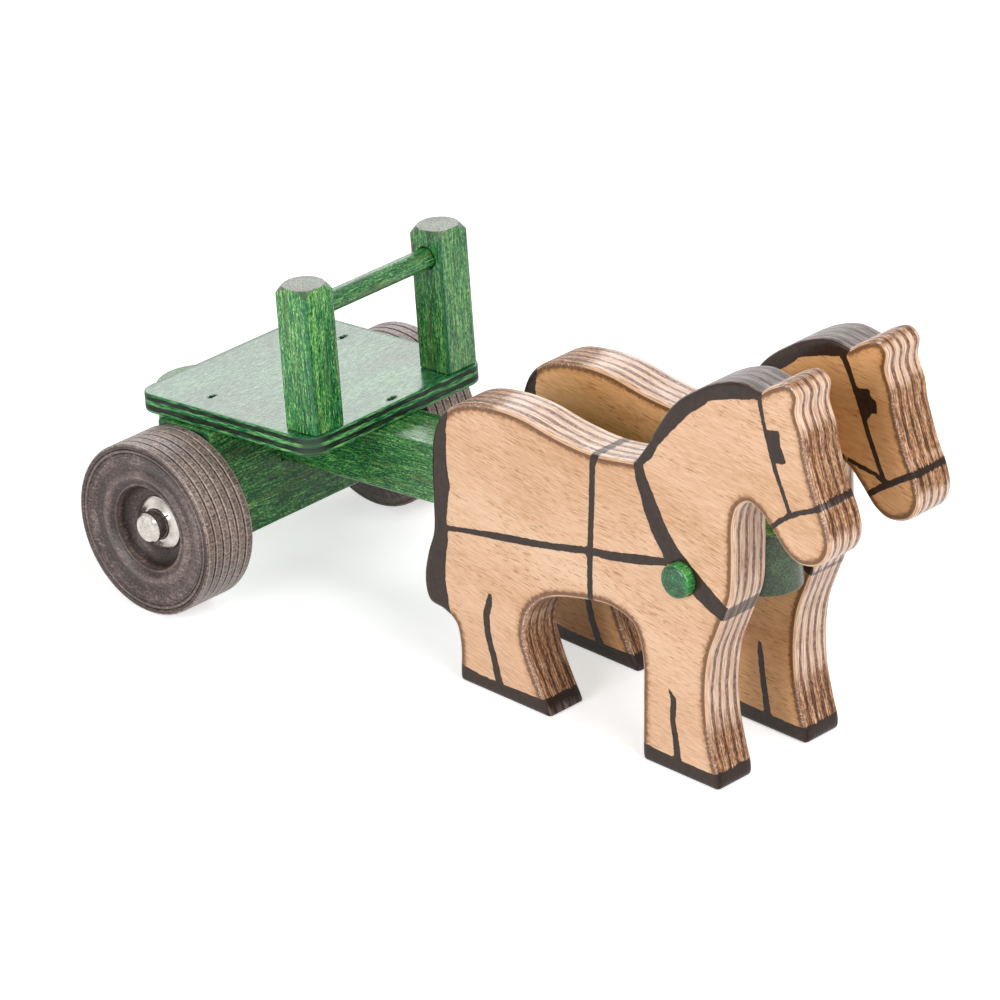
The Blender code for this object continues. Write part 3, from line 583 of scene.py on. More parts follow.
class Finish:
    """One node material, built by short calls that each add a node and give back its output."""

    def __init__(self, name):
        self.material = bpy.data.materials.new(name)
        self.material.use_nodes = True
        self.tree = self.material.node_tree
        coords = add_node(self.tree, "ShaderNodeTexCoord").outputs
        self.mm = self.mapped(coords["Object"], Scale=(1000.0, 1000.0, 1000.0))
        self.normal = coords["Normal"]

    def add(self, kind, inputs=(), output=0, **settings):
        return add_node(self.tree, kind, inputs, **settings).outputs[output]

    def mapped(self, vector, **inputs):
        return self.add("ShaderNodeMapping", {"Vector": vector, **inputs})

    def split(self, vector):
        return add_node(self.tree, "ShaderNodeSeparateXYZ", {"Vector": vector}).outputs

    def join(self, x, y, z=0.0):
        return self.add("ShaderNodeCombineXYZ", {"X": x, "Y": y, "Z": z})

    def attribute(self, name):
        return self.add("ShaderNodeAttribute", output="Fac", attribute_name=name)

    def noise(self, vector, scale, shift=(0, 0, 0), detail=3.0, roughness=0.6, distortion=0.0):
        """Noise over a vector that is scaled, by a number or along each axis, and shifted."""
        if isinstance(scale, float):
            scale = (scale, scale, scale)
        place = self.mapped(vector, Scale=scale, Location=shift)
        return self.add("ShaderNodeTexNoise", {"Vector": place, "Scale": 1.0, "Detail": detail,
                                               "Roughness": roughness, "Distortion": distortion})

    def sway(self, *place, **settings):
        """Noise that goes either way from zero."""
        return self.minus(self.noise(*place, **settings), 0.5)

    def ramp(self, value, *stops):
        node = add_node(self.tree, "ShaderNodeValToRGB", {"Fac": value})
        elements = node.color_ramp.elements
        while len(elements) < len(stops):
            elements.new(0.5)
        for element, (place, colour) in zip(elements, stops):
            element.position = place
            element.color = (*colour, 1.0)
        return node.outputs["Color"]

    def band(self, value, low, high, start=0.0, end=1.0):
        """Smoothly from start, where value is low, to end, where it is high."""
        return self.add("ShaderNodeMapRange", {"Value": value, "From Min": low, "From Max": high,
                                               "To Min": start, "To Max": end},
                        interpolation_type="SMOOTHSTEP")

    def fade(self, value, low, high, start=1.0):
        """Smoothly from start, where value is low, down to 0."""
        return self.band(value, low, high, start, 0.0)

    def plateau(self, value, rise, fall):
        """1 between a rise and a fall, each given as (low, high), and 0 outside them."""
        return self.times(self.band(value, *rise), self.fade(value, *fall))

    def hump(self, value, middle, reach):
        """1 where value is at the middle, and 0 from a reach away on."""
        return self.fade(self.math("ABSOLUTE", self.minus(value, middle)), 0.0, reach)

    def math(self, operation, *values):
        return self.add("ShaderNodeMath", enumerate(values), operation=operation)

    def plus(self, total, *values):
        for value in values:
            total = self.math("ADD", total, value)
        return total

    def minus(self, a, b):
        return self.math("SUBTRACT", a, b)

    def times(self, total, *values):
        for value in values:
            total = self.math("MULTIPLY", total, value)
        return total

    def weighted(self, first, *terms):
        """The sum of values, each times its weight."""
        total = self.times(*first)
        for value, weight in terms:
            total = self.math("MULTIPLY_ADD", value, weight, total)
        return total

    def blend(self, share, a, b):
        return self.math("MULTIPLY_ADD", share, self.minus(b, a), a)

    def distance(self, a, b, centre=(0.0, 0.0)):
        """How far the point (a, b) lies from a centre."""
        return self.add("ShaderNodeVectorMath", {0: self.join(a, b), 1: (*centre, 0.0)}, "Value",
                        operation="DISTANCE")

    def fold(self, value, period):
        """How far a value lies from the middle of the period that it falls in."""
        place = self.math("FLOORED_MODULO", value, period)
        return self.math("ABSOLUTE", self.minus(place, period / 2))

    def mix(self, share, a, b, blend="MIX"):
        a, b = ((*c, 1.0) if isinstance(c, tuple) else c for c in (a, b))
        return self.add("ShaderNodeMix", {0: share, 6: a, 7: b}, 2, data_type="RGBA",
                        blend_type=blend)

    def done(self, colour, roughness, height, depth, strength, **inputs):
        """Feed the shader, with a bump map whose height is worth a depth in millimetres."""
        bump = self.add("ShaderNodeBump", {"Height": height, "Distance": depth * MM,
                                           "Strength": strength})
        inputs.update(Base_Color=colour, Roughness=roughness, Normal=bump)
        feed(self.tree.nodes["Principled BSDF"],
             {key.replace("_", " "): value for key, value in inputs.items()})
        return self.material


def tinted(colour, shade):
    """A colour times a number or times another colour."""
    return tuple(float(c) for c in np.multiply(colour, shade))


def green_wood(name, grain, seed, light=1.0, contrast=1.0, end_tint=(0.02, 0.095, 0.038),
               end_from=(0.45, 0.85), corner=None, gloss=0.5, relief=1.0):
    """Green stain that the fibres took up unevenly, under a clear gloss lacquer.

    Light and contrast set the stain, end_tint and end_from the end grain, gloss and relief the
    lacquer. Corner is half the width of a post whose edges are rubbed.
    """
    f = Finish(name)
    run = f.mapped(f.mm, Rotation=GRAIN_TURN[grain])
    slow = f.noise(run, (0.012, 0.10, 0.10), (seed, 0, 0), 3.0, 0.5, 0.6)
    fibre = f.noise(run, (0.14, 1.7, 1.7), (seed, 3, 1), 2.0)
    fleck = f.noise(run, (0.85, 2.3, 2.3), (seed, 7, 2), 2.0)
    olive = f.noise(run, (0.03, 0.35, 0.35), (seed, 13, 4), 4.0)
    pores = f.noise(run, (0.30, 2.1, 2.1), (seed, 11, 5), 1.0, 0.5)
    level = f.weighted((slow, 0.20), (fibre, 0.38), (fleck, 0.42))
    level = f.math("MULTIPLY_ADD", f.minus(level, 0.5), contrast, 0.5)
    colour = f.ramp(level, *((place, tinted(tint, light)) for place, tint in GREEN_STAIN))
    colour = f.mix(f.band(olive, 0.52, 0.66, 0.0, 0.42), colour, (0.12, 0.13, 0.030))
    colour = f.mix(f.band(pores, 0.60, 0.70, 0.0, 0.75), colour, (0.002, 0.024, 0.012))
    if corner is not None:
        x, y, _ = f.split(f.mm)
        near = f.math("MINIMUM", f.math("ABSOLUTE", x), f.math("ABSOLUTE", y))
        rubbed = f.times(f.band(near, corner - 1.3, corner - 0.5),
                         f.band(fibre, 0.40, 0.58, 0.25, 0.8))
        colour = f.mix(rubbed, colour, (0.002, 0.085, 0.050))

    # End grain drinks more stain, and shows as fine speckle
    end = f.band(f.math("ABSOLUTE", f.split(f.normal)[grain]), *end_from)
    speckle = f.noise(f.mm, 1.5, (seed, 5, 6))
    cloud = f.noise(f.mm, 0.16, (seed, 5, 6), 3.0, 0.5)
    grain_end = f.ramp(f.weighted((speckle, 0.65), (cloud, 0.35)), (0.38, tinted(end_tint, 0.30)),
                       (0.52, end_tint), (0.64, tinted(end_tint, 2.6)))
    colour = f.mix(end, colour, grain_end)
    rough = f.band(fibre, 0.36, 0.64, 0.14 + 0.20 * relief, 0.10 + 0.12 * relief)
    height = f.weighted((fibre, 0.8), (fleck, 0.5), (pores, -0.5))
    return f.done(colour, rough, height, 0.13 * relief, 0.75, IOR=1.5, Specular_IOR_Level=gloss)


def green_plywood(name, seed, high, corner):
    """Green-stained plywood: a thin veneer on each face, three plies, and one scuffed corner."""
    f = Finish(name)
    x, y, z = f.split(f.mm)
    slow = f.noise(f.mm, (0.05, 0.014, 0.05), (seed, 0, 0), 3.0, 0.5, 0.5)
    fibre = f.noise(f.mm, (1.9, 0.40, 1.3), (seed, 3, 1), 2.0)
    peel = f.noise(f.mm, (1.5, 0.95, 1.3), (seed, 2, 7), 2.0)
    face = f.ramp(f.weighted((slow, 0.35), (fibre, 0.65)),
                  (0.38, (0.002, 0.045, 0.018)), (0.46, (0.006, 0.100, 0.034)),
                  (0.55, (0.025, 0.175, 0.055)), (0.64, (0.11, 0.32, 0.12)))

    # Edge: dark glued plies between light ones, more scuffed near the corner
    streak = f.noise(f.join(f.minus(x, y), z), (0.22, 2.0, 1.0), (0, 0, seed))
    light_ply = f.ramp(streak, (0.40, (0.004, 0.085, 0.028)), (0.50, (0.025, 0.21, 0.065)),
                       (0.63, (0.22, 0.52, 0.17)))
    dark_ply = f.ramp(streak, (0.42, (0.003, 0.005, 0.004)), (0.56, (0.016, 0.024, 0.016)),
                      (0.68, (0.035, 0.12, 0.05)))
    wander = f.times(f.sway(f.join(x, y), 0.07, roughness=0.55), 0.9)
    depth = f.minus(high, f.plus(z, wander))
    dark = f.plus(f.plateau(depth, (0.50, 0.75), (2.10, 2.35)),
                  f.plateau(depth, (3.70, 3.95), (5.60, 5.90)))
    edge = f.mix(dark, light_ply, dark_ply)
    scuff = f.fade(f.weighted((f.distance(x, y, corner), 1.0), (streak, 9.0)), 9.0, 15.0, 0.85)
    edge = f.mix(scuff, edge, f.mix(streak, (0.002, 0.008, 0.005), (0.055, 0.10, 0.07)))
    side = f.fade(f.attribute("inset"), 0.25, 0.5)
    colour = f.mix(side, face, edge)
    colour = f.mix(f.band(f.attribute("dent"), 0.15, 0.5), colour, (0.002, 0.030, 0.012))
    height = f.weighted((fibre, 0.35), (peel, 0.55), (dark, -0.5), (f.times(streak, side), 0.6))
    rough = f.blend(side, f.band(fibre, 0.35, 0.65, 0.26, 0.20), 0.5)
    return f.done(colour, rough, height, 0.06, 0.5, IOR=1.5,
                  Specular_IOR_Level=f.blend(side, 0.5, 0.22), Specular_Tint=(0.97, 1.0, 0.91, 1.0))


def horse_wood(name, seed, shade, figure, neck_shade):
    """Birch plywood under satin lacquer, scorched at its sawn edges, with hand-painted lines.

    Shade tints the veneer; for the left horse it also darkens it, partly as painted shade for the dim,
    warm light on the far horse. Figure strengthens its brown flecks, and the last argument is painted
    shade: how much darker its right face is drawn round the neck, where the near horse shades the
    far one.
    """
    f = Finish(name)
    x, y, z = f.split(f.mm)
    inset, along, paint = f.attribute("inset"), f.attribute("along"), f.attribute("paint")
    side = f.fade(inset, 0.30, 0.55)
    rim, own = f.join(along, y), (0, 0, seed)

    # Face veneer: fine brown flecks along a grain that falls a little towards the head
    bend = f.noise(f.mm, (0.009, 0.0, 0.012), (seed, 1, 0), 1.0, 0.5)
    bent = f.join(x, y, f.math("MULTIPLY_ADD", bend, 16.0, z))
    grain = f.mapped(bent, Rotation=(0, radians(-7), 0))
    cloud = f.noise(grain, (0.012, 0.03, 0.035), (seed, 0, 0), 3.0, 0.5, 0.7)
    patch = f.noise(grain, (0.035, 0.1, 0.11), (seed, 5, 0), 3.0, 0.6, 0.5)
    silk = f.noise(grain, (0.16, 1.0, 2.1), (seed, 2, 8), 3.0, 0.65)
    fleck = f.noise(grain, (0.23, 1.0, 2.0), (seed, 9, 4), 3.0, 0.65)
    # For the left horse the shade is partly painted shade, for the dim, warm light on the far horse
    face = f.ramp(f.weighted((cloud, 0.40), (silk, 0.60)),
                  (0.36, tinted((0.61, 0.340, 0.175), shade)),
                  (0.49, tinted((0.76, 0.470, 0.288), shade)),
                  (0.61, tinted((0.84, 0.575, 0.385), shade)))
    most = min(0.85 * figure, 1.0)
    flecked = f.times(f.band(fleck, 0.52, 0.66), f.band(patch, 0.38, 0.62, 0.14, most))
    face = f.mix(flecked, face, tinted((0.40, 0.180, 0.072), shade))
    clouded = f.band(patch, 0.53, 0.72, 0.0, 0.28 * figure)
    face = f.mix(clouded, face, tinted((0.58, 0.30, 0.130), shade))
    # Painted shade round the neck on the right face, where the near horse shades the far one
    deep = f.times(f.fade(f.distance(x, z, NECK), *NECK_REACH, neck_shade),
                   f.math("LESS_THAN", y, 0.0))
    face = f.mix(deep, face, (0.60, 0.44, 0.16), "MULTIPLY")

    # Sawn edge: nine layers, light and dark by turns. Where it is scorched they turn ragged.
    scorch = f.plus(f.attribute("scorch"), f.sway(rim, (0.09, 0.12, 1.0), own, 4.0))
    hot = f.band(scorch, 0.35, 0.85)
    wander = f.sway(rim, 0.045, detail=2.0, roughness=0.55)
    ragged = f.times(f.sway(rim, 0.6), f.blend(hot, 0.35, 1.5))
    swell = f.noise(rim, (0.05, 0.26, 1.0), own)
    streak = f.noise(rim, (0.11, 1.7, 1.0), own, 3.0, 0.6, 0.2)
    pits = f.noise(rim, (0.6, 1.5, 1.0), own)
    phase = f.fold(f.plus(y, wander, ragged), 2 * PLY)
    dark = f.fade(f.minus(phase, f.band(swell, 0.36, 0.64, 0.38, 0.95)), -0.15, 0.25)
    light_ply = f.ramp(streak, (0.36, (0.48, 0.255, 0.148)), (0.48, (0.78, 0.500, 0.335)),
                       (0.60, (0.92, 0.71, 0.55)))
    dark_ply = f.ramp(pits, (0.36, (0.105, 0.042, 0.026)), (0.50, (0.235, 0.112, 0.072)),
                      (0.66, (0.48, 0.28, 0.19)))
    burnt = f.ramp(f.weighted((pits, 0.5), (streak, 0.5)),
                   (0.40, (0.080, 0.030, 0.012)), (0.48, (0.30, 0.125, 0.050)),
                   (0.56, (0.60, 0.32, 0.155)), (0.66, (0.90, 0.64, 0.47)))
    charred = f.ramp(f.weighted((pits, 0.35), (streak, 0.65)),
                     (0.40, (0.022, 0.009, 0.005)), (0.50, (0.105, 0.044, 0.021)),
                     (0.60, (0.38, 0.19, 0.10)))
    edge = f.mix(f.times(hot, 0.9), f.mix(dark, light_ply, dark_ply), f.mix(dark, burnt, charred))

    # Rounding: a pale worn line, a frayed brown one on the face's side, and pale specks where
    # scorched, which are painted glints
    fray = f.sway(f.join(x, z), 0.6, detail=4.0, roughness=0.7)
    reach = f.weighted((inset, 1.0), (fray, 3.2))
    wood = f.mix(f.fade(reach, 0.7, 1.2, 0.6), face, (0.84, 0.58, 0.37))
    glow = f.fade(f.weighted((inset, 1.0), (fray, 6.0)), 1.5, 5.0, 0.55)
    wood = f.mix(f.times(glow, f.band(inset, 0.8, 1.2)), wood, (0.46, 0.205, 0.065))
    brown = f.times(f.fade(reach, 1.8, 3.3, 0.95), f.band(inset, 0.75, 1.10))
    wood = f.mix(brown, wood, (0.165, 0.066, 0.022))
    wood = f.mix(f.fade(inset, 0.40, 0.80, 0.50), wood, (0.24, 0.13, 0.095))
    wood = f.mix(side, wood, edge)
    glint_specks = f.noise(f.mm, 1.5, (seed, 0, 3), 3.0, 0.7)
    crest = f.times(f.plateau(inset, (0.12, 0.45), (1.1, 1.7)), hot)
    wood = f.mix(f.times(crest, 0.7), wood, (0.17, 0.085, 0.055))
    # Painted glints: pale specks on the scorched crest
    wood = f.mix(f.times(crest, f.band(glint_specks, 0.53, 0.62, 0.0, 0.9)), wood, (0.74, 0.60, 0.52))

    # Black paint, with the wobble of a hand-held brush, thin where it runs over the light plies. The
    # pale colour showing through there is partly thin paint and partly a painted highlight on the
    # painted edges, such as the mane's top.
    wobble = f.sway(f.join(x, z, y), 0.35)
    bleed = f.times(f.minus(streak, 0.5), side)
    border = f.weighted((paint, 1.0), (wobble, 0.9), (bleed, 3.0))
    painted = f.fade(border, -0.14, 0.14)
    brush = f.noise(f.mm, (0.5, 2.0, 0.5), (seed, 1, 1))
    black = f.ramp(brush, (0.35, (0.017, 0.007, 0.003)), (0.65, (0.034, 0.016, 0.008)))
    # Thin paint, and painted highlight, where the paint runs over the light plies of an edge
    bare = f.times(side, f.blend(hot, 1.0, 0.0),
                   f.blend(dark, f.band(streak, 0.42, 0.58, 0.12, 0.50), 0.02))
    colour = f.mix(painted, wood, f.mix(bare, black, (0.52, 0.38, 0.33)))

    grainy = f.weighted((fleck, -0.30), (silk, -0.20))
    sawn = f.weighted((dark, -0.45), (streak, 0.9), (pits, 0.25))
    ridges = f.times(streak, side, f.blend(hot, 1.0, 0.25))
    height = f.blend(painted, f.blend(side, grainy, sawn), f.weighted((brush, 0.6), (ridges, 3.0)))
    rough = f.blend(side, f.band(silk, 0.4, 0.6, 0.46, 0.36), f.blend(hot, 0.26, 0.45))
    shine = f.blend(side, f.blend(painted, 0.5, 0.38), f.blend(hot, 0.42, 0.22))
    return f.done(colour, f.blend(painted, rough, 0.28), height, 0.20, 0.7, IOR=1.48,
                  Specular_IOR_Level=shine)


def wheel_wood(name, seed, pitch):
    """Dark brown stained wood, turned, with its open grain showing as speckle."""
    f = Finish(name)
    x, y, z = f.split(f.mm)
    radius = f.distance(x, z)
    speck = f.noise(f.mm, (1.3, 0.8, 1.3), (seed, 0, 0), 3.0, 0.66)
    fibre = f.noise(f.mm, (0.30, 1.0, 1.3), (seed, 6, 2))
    cloud = f.noise(f.mm, (0.06, 0.08, 0.03), (seed, 4, 0), 4.0, 0.55, 0.5)
    rings = f.noise(f.join(radius, y), (1.3, 0.4, 1.0), (0, 0, seed), 2.0)
    spark = f.noise(f.mm, 1.5, (seed, 8, 3), 2.0)
    stained = f.ramp(f.weighted((speck, 0.32), (fibre, 0.24), (cloud, 0.30), (rings, 0.14)),
                     (0.425, (0.012, 0.008, 0.007)), (0.475, (0.050, 0.032, 0.029)),
                     (0.525, (0.108, 0.074, 0.068)), (0.58, (0.26, 0.195, 0.175)))
    worn = f.ramp(f.weighted((speck, 0.55), (fibre, 0.25), (cloud, 0.20)),
                  (0.40, (0.040, 0.026, 0.023)), (0.46, (0.135, 0.098, 0.087)),
                  (0.53, (0.235, 0.178, 0.158)), (0.61, (0.48, 0.385, 0.34)))
    tread = f.band(radius, 30.6, 31.2)
    colour = f.mix(tread, stained, worn)
    # Painted highlight: a pale catch-light along one edge of each tread groove
    groove_catchlight = f.hump(f.fold(f.plus(y, pitch / 2), pitch), 0.62, 0.28)
    colour = f.mix(f.times(tread, groove_catchlight, 0.55), colour, (0.66, 0.56, 0.50))
    sparkle = f.times(f.band(spark, 0.57, 0.68), f.blend(tread, 0.35, 0.85))
    colour = f.mix(sparkle, colour, (0.36, 0.19, 0.085))
    # Painted shade in the wall's valleys and painted highlight on its crests
    for spots, share, tint in ((WALL_PAINTED_SHADE, 0.55, (0.020, 0.012, 0.010)),
                               (WALL_PAINTED_HIGHLIGHTS, 0.18, (0.40, 0.32, 0.29))):
        level = f.plus(*(f.hump(radius, *spot) for spot in spots))
        colour = f.mix(f.times(level, share), colour, tint)
    # Painted shade: darker in the hub's hollow and in the tread grooves
    groove = f.plateau(radius, (30.2, 30.5), (30.6, 31.3))
    hollow = f.math("MAXIMUM", f.fade(radius, 14.6, 15.6, 0.60), f.times(groove, 0.7))
    colour = f.mix(hollow, colour, (0.016, 0.010, 0.008))
    height = f.weighted((speck, 0.9), (fibre, 0.6), (rings, 0.5))
    return f.done(colour, f.band(cloud, 0.38, 0.62, 0.34, 0.48), height, 0.20, 0.7, IOR=1.48)


def turned_steel(name, seed):
    """Bright drawn bar with a turned end and fine handling marks."""
    f = Finish(name)
    x, y, z = f.split(f.mm)
    rings = f.noise(f.join(f.distance(x, z), y), (3.0, 3.0, 1.0), (0, 0, seed))
    smear = f.noise(f.mm, 0.3, (seed, 0, 0), 4.0)
    spots = f.noise(f.mm, 1.4, (seed, 3, 0))
    colour = f.ramp(smear, (0.38, (0.46, 0.42, 0.385)), (0.62, (0.64, 0.60, 0.56)))
    colour = f.mix(f.band(spots, 0.54, 0.66, 0.0, 0.6), colour, (0.30, 0.255, 0.22))
    return f.done(colour, f.band(smear, 0.35, 0.65, 0.14, 0.28), rings, 0.04, 0.5, Metallic=1.0)


def pressed_zinc(name, seed):
    """Bright plated sheet, a little uneven from the press."""
    f = Finish(name)
    dimple = f.noise(f.mm, 0.16, (seed, 0, 0), 1.0, 0.5)
    grit = f.noise(f.mm, 1.4, (seed, 5, 0))
    colour = f.ramp(f.weighted((dimple, 0.6), (grit, 0.4)),
                    (0.40, (0.36, 0.325, 0.29)), (0.60, (0.61, 0.575, 0.53)))
    height = f.weighted((dimple, 2.0), (grit, 0.08))
    return f.done(colour, f.band(grit, 0.35, 0.65, 0.12, 0.26), height, 0.12, 0.4, Metallic=1.0)


def stained_nail(name, seed):
    """Nail head under the green stain, with bare steel where it wore through."""
    f = Finish(name)
    wear = f.noise(f.mm, 1.2, (seed, 0, 0), 4.0)
    colour = f.ramp(wear, (0.50, (0.004, 0.030, 0.012)), (0.75, (0.10, 0.14, 0.10)))
    return f.done(colour, f.band(wear, 0.3, 0.7, 0.6, 0.4), wear, 0.05, 0.5, Metallic=0.35)


# Wheels, rod and push nuts

def on_axle(node, sign):
    """A node's outer radius and width, and a frame on the axle at its inner face, +Y outwards."""
    low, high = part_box(node)
    inner = low.y if sign > 0 else high.y
    turn = Matrix.Rotation(0.0 if sign > 0 else pi, 4, "Z")
    return high.x, high.y - low.y, Matrix.Translation((AXLE.x, inner, AXLE.z)) @ turn


def tread_profile(width):
    """The rim from its inner face to its outer one: a rounded edge, then ribs and grooves."""
    edge = WHEEL_RADIUS - RIM_ROUND
    points = arc((edge, RIM_ROUND), RIM_ROUND, -90, 0, 6)
    half = GROOVE_WIDTH / 2
    groove = [(WHEEL_RADIUS, half + RIB_EASE), (WHEEL_RADIUS - RIB_EASE, half),
              (WHEEL_RADIUS - GROOVE_DEPTH, half * GROOVE_FLOOR)]
    for i in range(TREAD_GROOVES):
        middle = width / (TREAD_GROOVES + 1) * (i + 1)
        points += [(radius, middle + away) for radius, away in mirrored(groove)]
    return points + arc((edge, width - RIM_ROUND), RIM_ROUND, 0, 90, 6)


def sidewall_profile(width):
    """The outer face inwards: two scored lines, the shaped wall and the hub's hollow."""
    points = []
    for radius, drop in SCORED_LINES:
        points += [(radius + SCORE_WIDTH, width - drop), (radius, width - drop - SCORE_DEPTH),
                   (radius - SCORE_WIDTH * 0.6, width - drop - SCORE_DEPTH * 0.3)]
    points += [(radius, width - drop) for radius, drop in WALL_SHAPE]
    return points + arc((HUB_FLOOR_RADIUS, width - RING_DROP), RING_RADIUS - HUB_FLOOR_RADIUS,
                        -3, -90, 9, HUB_FLOOR_DROP - RING_DROP)


def add_wheel(side, sign):
    node = f"wheel_{side}"
    _, width, matrix = on_axle(node, sign)
    width /= MM
    bore = (ROD_RADIUS + FIT) / MM
    profile = [(bore, 0.0)] + tread_profile(width) + sidewall_profile(width)
    profile.append((bore, width - HUB_FLOOR_DROP))
    shape = turned([(r * MM, y * MM) for r, y in profile], WHEEL_SEGMENTS)
    stain = wheel_wood(f"{side}_wheel_stain", 3.0 + sign, width / (TREAD_GROOVES + 1))
    add_piece(f"{side}_wheel", shape, stain, node, node, matrix, 28.0)


def add_rod():
    radius, half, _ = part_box("axle_rod")[1]
    shape = turned(mirrored([(0.0, half), (radius * 0.5, half), (radius - ROD_CHAMFER, half),
                             (radius, half - ROD_CHAMFER)]), 96)
    add_piece("wheel_rod", shape, turned_steel("rod_bright_steel", 2.0), "axle",
              "axle_rod", Matrix.Translation(AXLE), 30.0)


def add_push_nut(side, sign):
    """A dished ring with a bright rolled rim, and two short slots that let its bore give."""
    node = f"push_nut_{side}"
    outer, deep, matrix = on_axle(node, sign)
    bore = ROD_RADIUS + FIT
    reach = bore + NUT_COLLAR
    bm = turned([
        (bore, deep - NUT_SHEET), (reach, deep - NUT_SHEET - NUT_RISE), (outer - NUT_RIM, NUT_RISE),
        (outer - 0.5 * MM, 0.1 * MM), (outer, 0.0), (outer, NUT_RISE),
        (outer - 0.4 * MM, NUT_SHEET + 0.05 * MM), (outer - NUT_RIM, NUT_SHEET + NUT_RISE),
        (reach, deep - NUT_RISE), (bore + 0.4 * MM, deep), (bore, deep)], 96)
    blade = box((-reach, -deep, -NUT_SLOT_HALF), (reach, 2 * deep, NUT_SLOT_HALF))
    bm = cut(bm, moved(blade, Matrix.Rotation(-sign * pi / 4, 4, "Y")))
    add_piece(f"{side}_push_nut", bm, pressed_zinc(f"{side}_nut_zinc", 4.0 + sign), "axle",
              node, matrix, 30.0)


# Cart

def add_block():
    """The block with its slot for the tongue and its bore for the rod."""
    low, high = cart_box("axle_block")
    tongue_low, tongue_high = cart_box("tongue")
    bm = box(low, high)
    round_edges(bm, bm.edges, BLOCK_EDGE_ROUND, 5)
    bm = cut(bm, box((2 * low.x, tongue_low.y - FIT, tongue_low.z - FIT),
                     (2 * high.x, tongue_high.y + FIT, 2 * high.z)))
    bm = cut(bm, cylinder(AXLE_BORE_RADIUS, 2 * high.y))
    stain = green_wood("block_green_stain", "Y", 1.3, 1.2, 1.1, gloss=0.25)
    add_piece("green_axle_block", bm, stain, "cart", "axle_block", CART)


def prism(outline, low, high):
    """Extrude a closed outline of (x, y) points from z = low to z = high."""
    bm = bmesh.new()
    foot = bm.faces.new([bm.verts.new((x, y, low)) for x, y in outline])
    extruded = bmesh.ops.extrude_face_region(bm, geom=[foot])["geom"]
    top = [v for v in extruded if isinstance(v, bmesh.types.BMVert)]
    bmesh.ops.translate(bm, vec=(0.0, 0.0, high - low), verts=top)
    return bm


def add_tongue():
    """The pole with a round front end, a rounded hitch end a step lower, and the dowel's hole."""
    low, high = cart_box("tongue")
    ledge_x = cart_box("axle_block")[0].x
    half = high.y
    front = arc((high.x - half, 0.0), half, -90, 90, 48)
    spread = degrees(asin(half / HITCH_END_RADIUS))
    rear = arc((low.x + HITCH_END_RADIUS, 0.0), HITCH_END_RADIUS, 180 - spread, 180 + spread, 28)
    bm = prism(front + rear, low.z, high.z)
    rims = [e for e in bm.edges if abs(e.verts[0].co.z - e.verts[1].co.z) < 1e-6]
    round_edges(bm, rims, TONGUE_EDGE_ROUND, 5)
    hitch = (CART.inverted() @ Vector(MOUNTS["hitch_top"]["pos_m"])).z
    bm = cut(bm, box((2 * low.x, -2 * half, hitch), (ledge_x, 2 * half, 2 * high.z)))
    ledge = [e for e in bm.edges if len(e.link_faces) == 2 and e.calc_face_angle() > radians(50)
             and all(abs(v.co.z - hitch) < 1e-5 for v in e.verts)
             and min(v.co.x for v in e.verts) < ledge_x - MM]
    round_edges(bm, ledge, HITCH_LEDGE_ROUND, 4)
    pivot = CART.inverted() @ PIVOT
    bore = cylinder(DOWEL_HOLE_RADIUS * MM, 2 * half)
    bm = cut(bm, moved(bore, Matrix.Translation((pivot.x, 0.0, pivot.z))))
    stain = green_wood("tongue_green_stain", "X", 5.1, end_tint=(0.042, 0.070, 0.032),
                       end_from=(0.05, 0.30))
    add_piece("green_tongue", bm, stain, "cart", "tongue", CART, 35.0)


def add_deck():
    """Plywood with rounded corners and a frayed dent round each nail."""
    low, high = (corner / MM for corner in cart_box("deck"))
    outline = rounded_rectangle(low, high, DECK_CORNER_RADIUS, 14)
    spots = []
    for place in NAILS:
        nail_low, nail_high = cart_box(f"deck_nail_{place}")
        spots.append(((nail_low.x + nail_high.x) / 2 / MM, (nail_low.y + nail_high.y) / 2 / MM))
    holes = [circle(x, y, NAIL_HOLE_RADIUS, 20) for x, y in spots]
    dense = [circle(x, y, r, 28) for x, y in spots for r in DENT_RINGS]
    points, faces, insets, _ = slab(np.array(outline), low.z, high.z, DECK_EDGE_ROUND,
                                    DECK_MESH_STEP, 7, holes, dense)
    dents = np.zeros(len(points))
    for i, (x, y) in enumerate(spots):
        across = (points[:, 0] - x) * (1.5 + 0.25 * i)
        lengthways = (points[:, 1] - y) * (0.62 + 0.12 * i)
        dent = np.clip(DENT_REACH - np.hypot(across, lengthways), 0.0, 1.0)
        dents = np.maximum(dents, dent)
    dents = np.where(points[:, 2] > high.z - 0.01, dents, 0.0)
    points[:, 2] -= DENT_DEPTH * dents
    mesh = mesh_from("green_deck", points * MM, faces, inset=insets, dent=dents)
    stain = green_plywood("deck_green_plywood", 2.6, high.z, (high.x, low.y))
    add_piece("green_deck", mesh, stain, "cart", "deck", CART, 30.0)


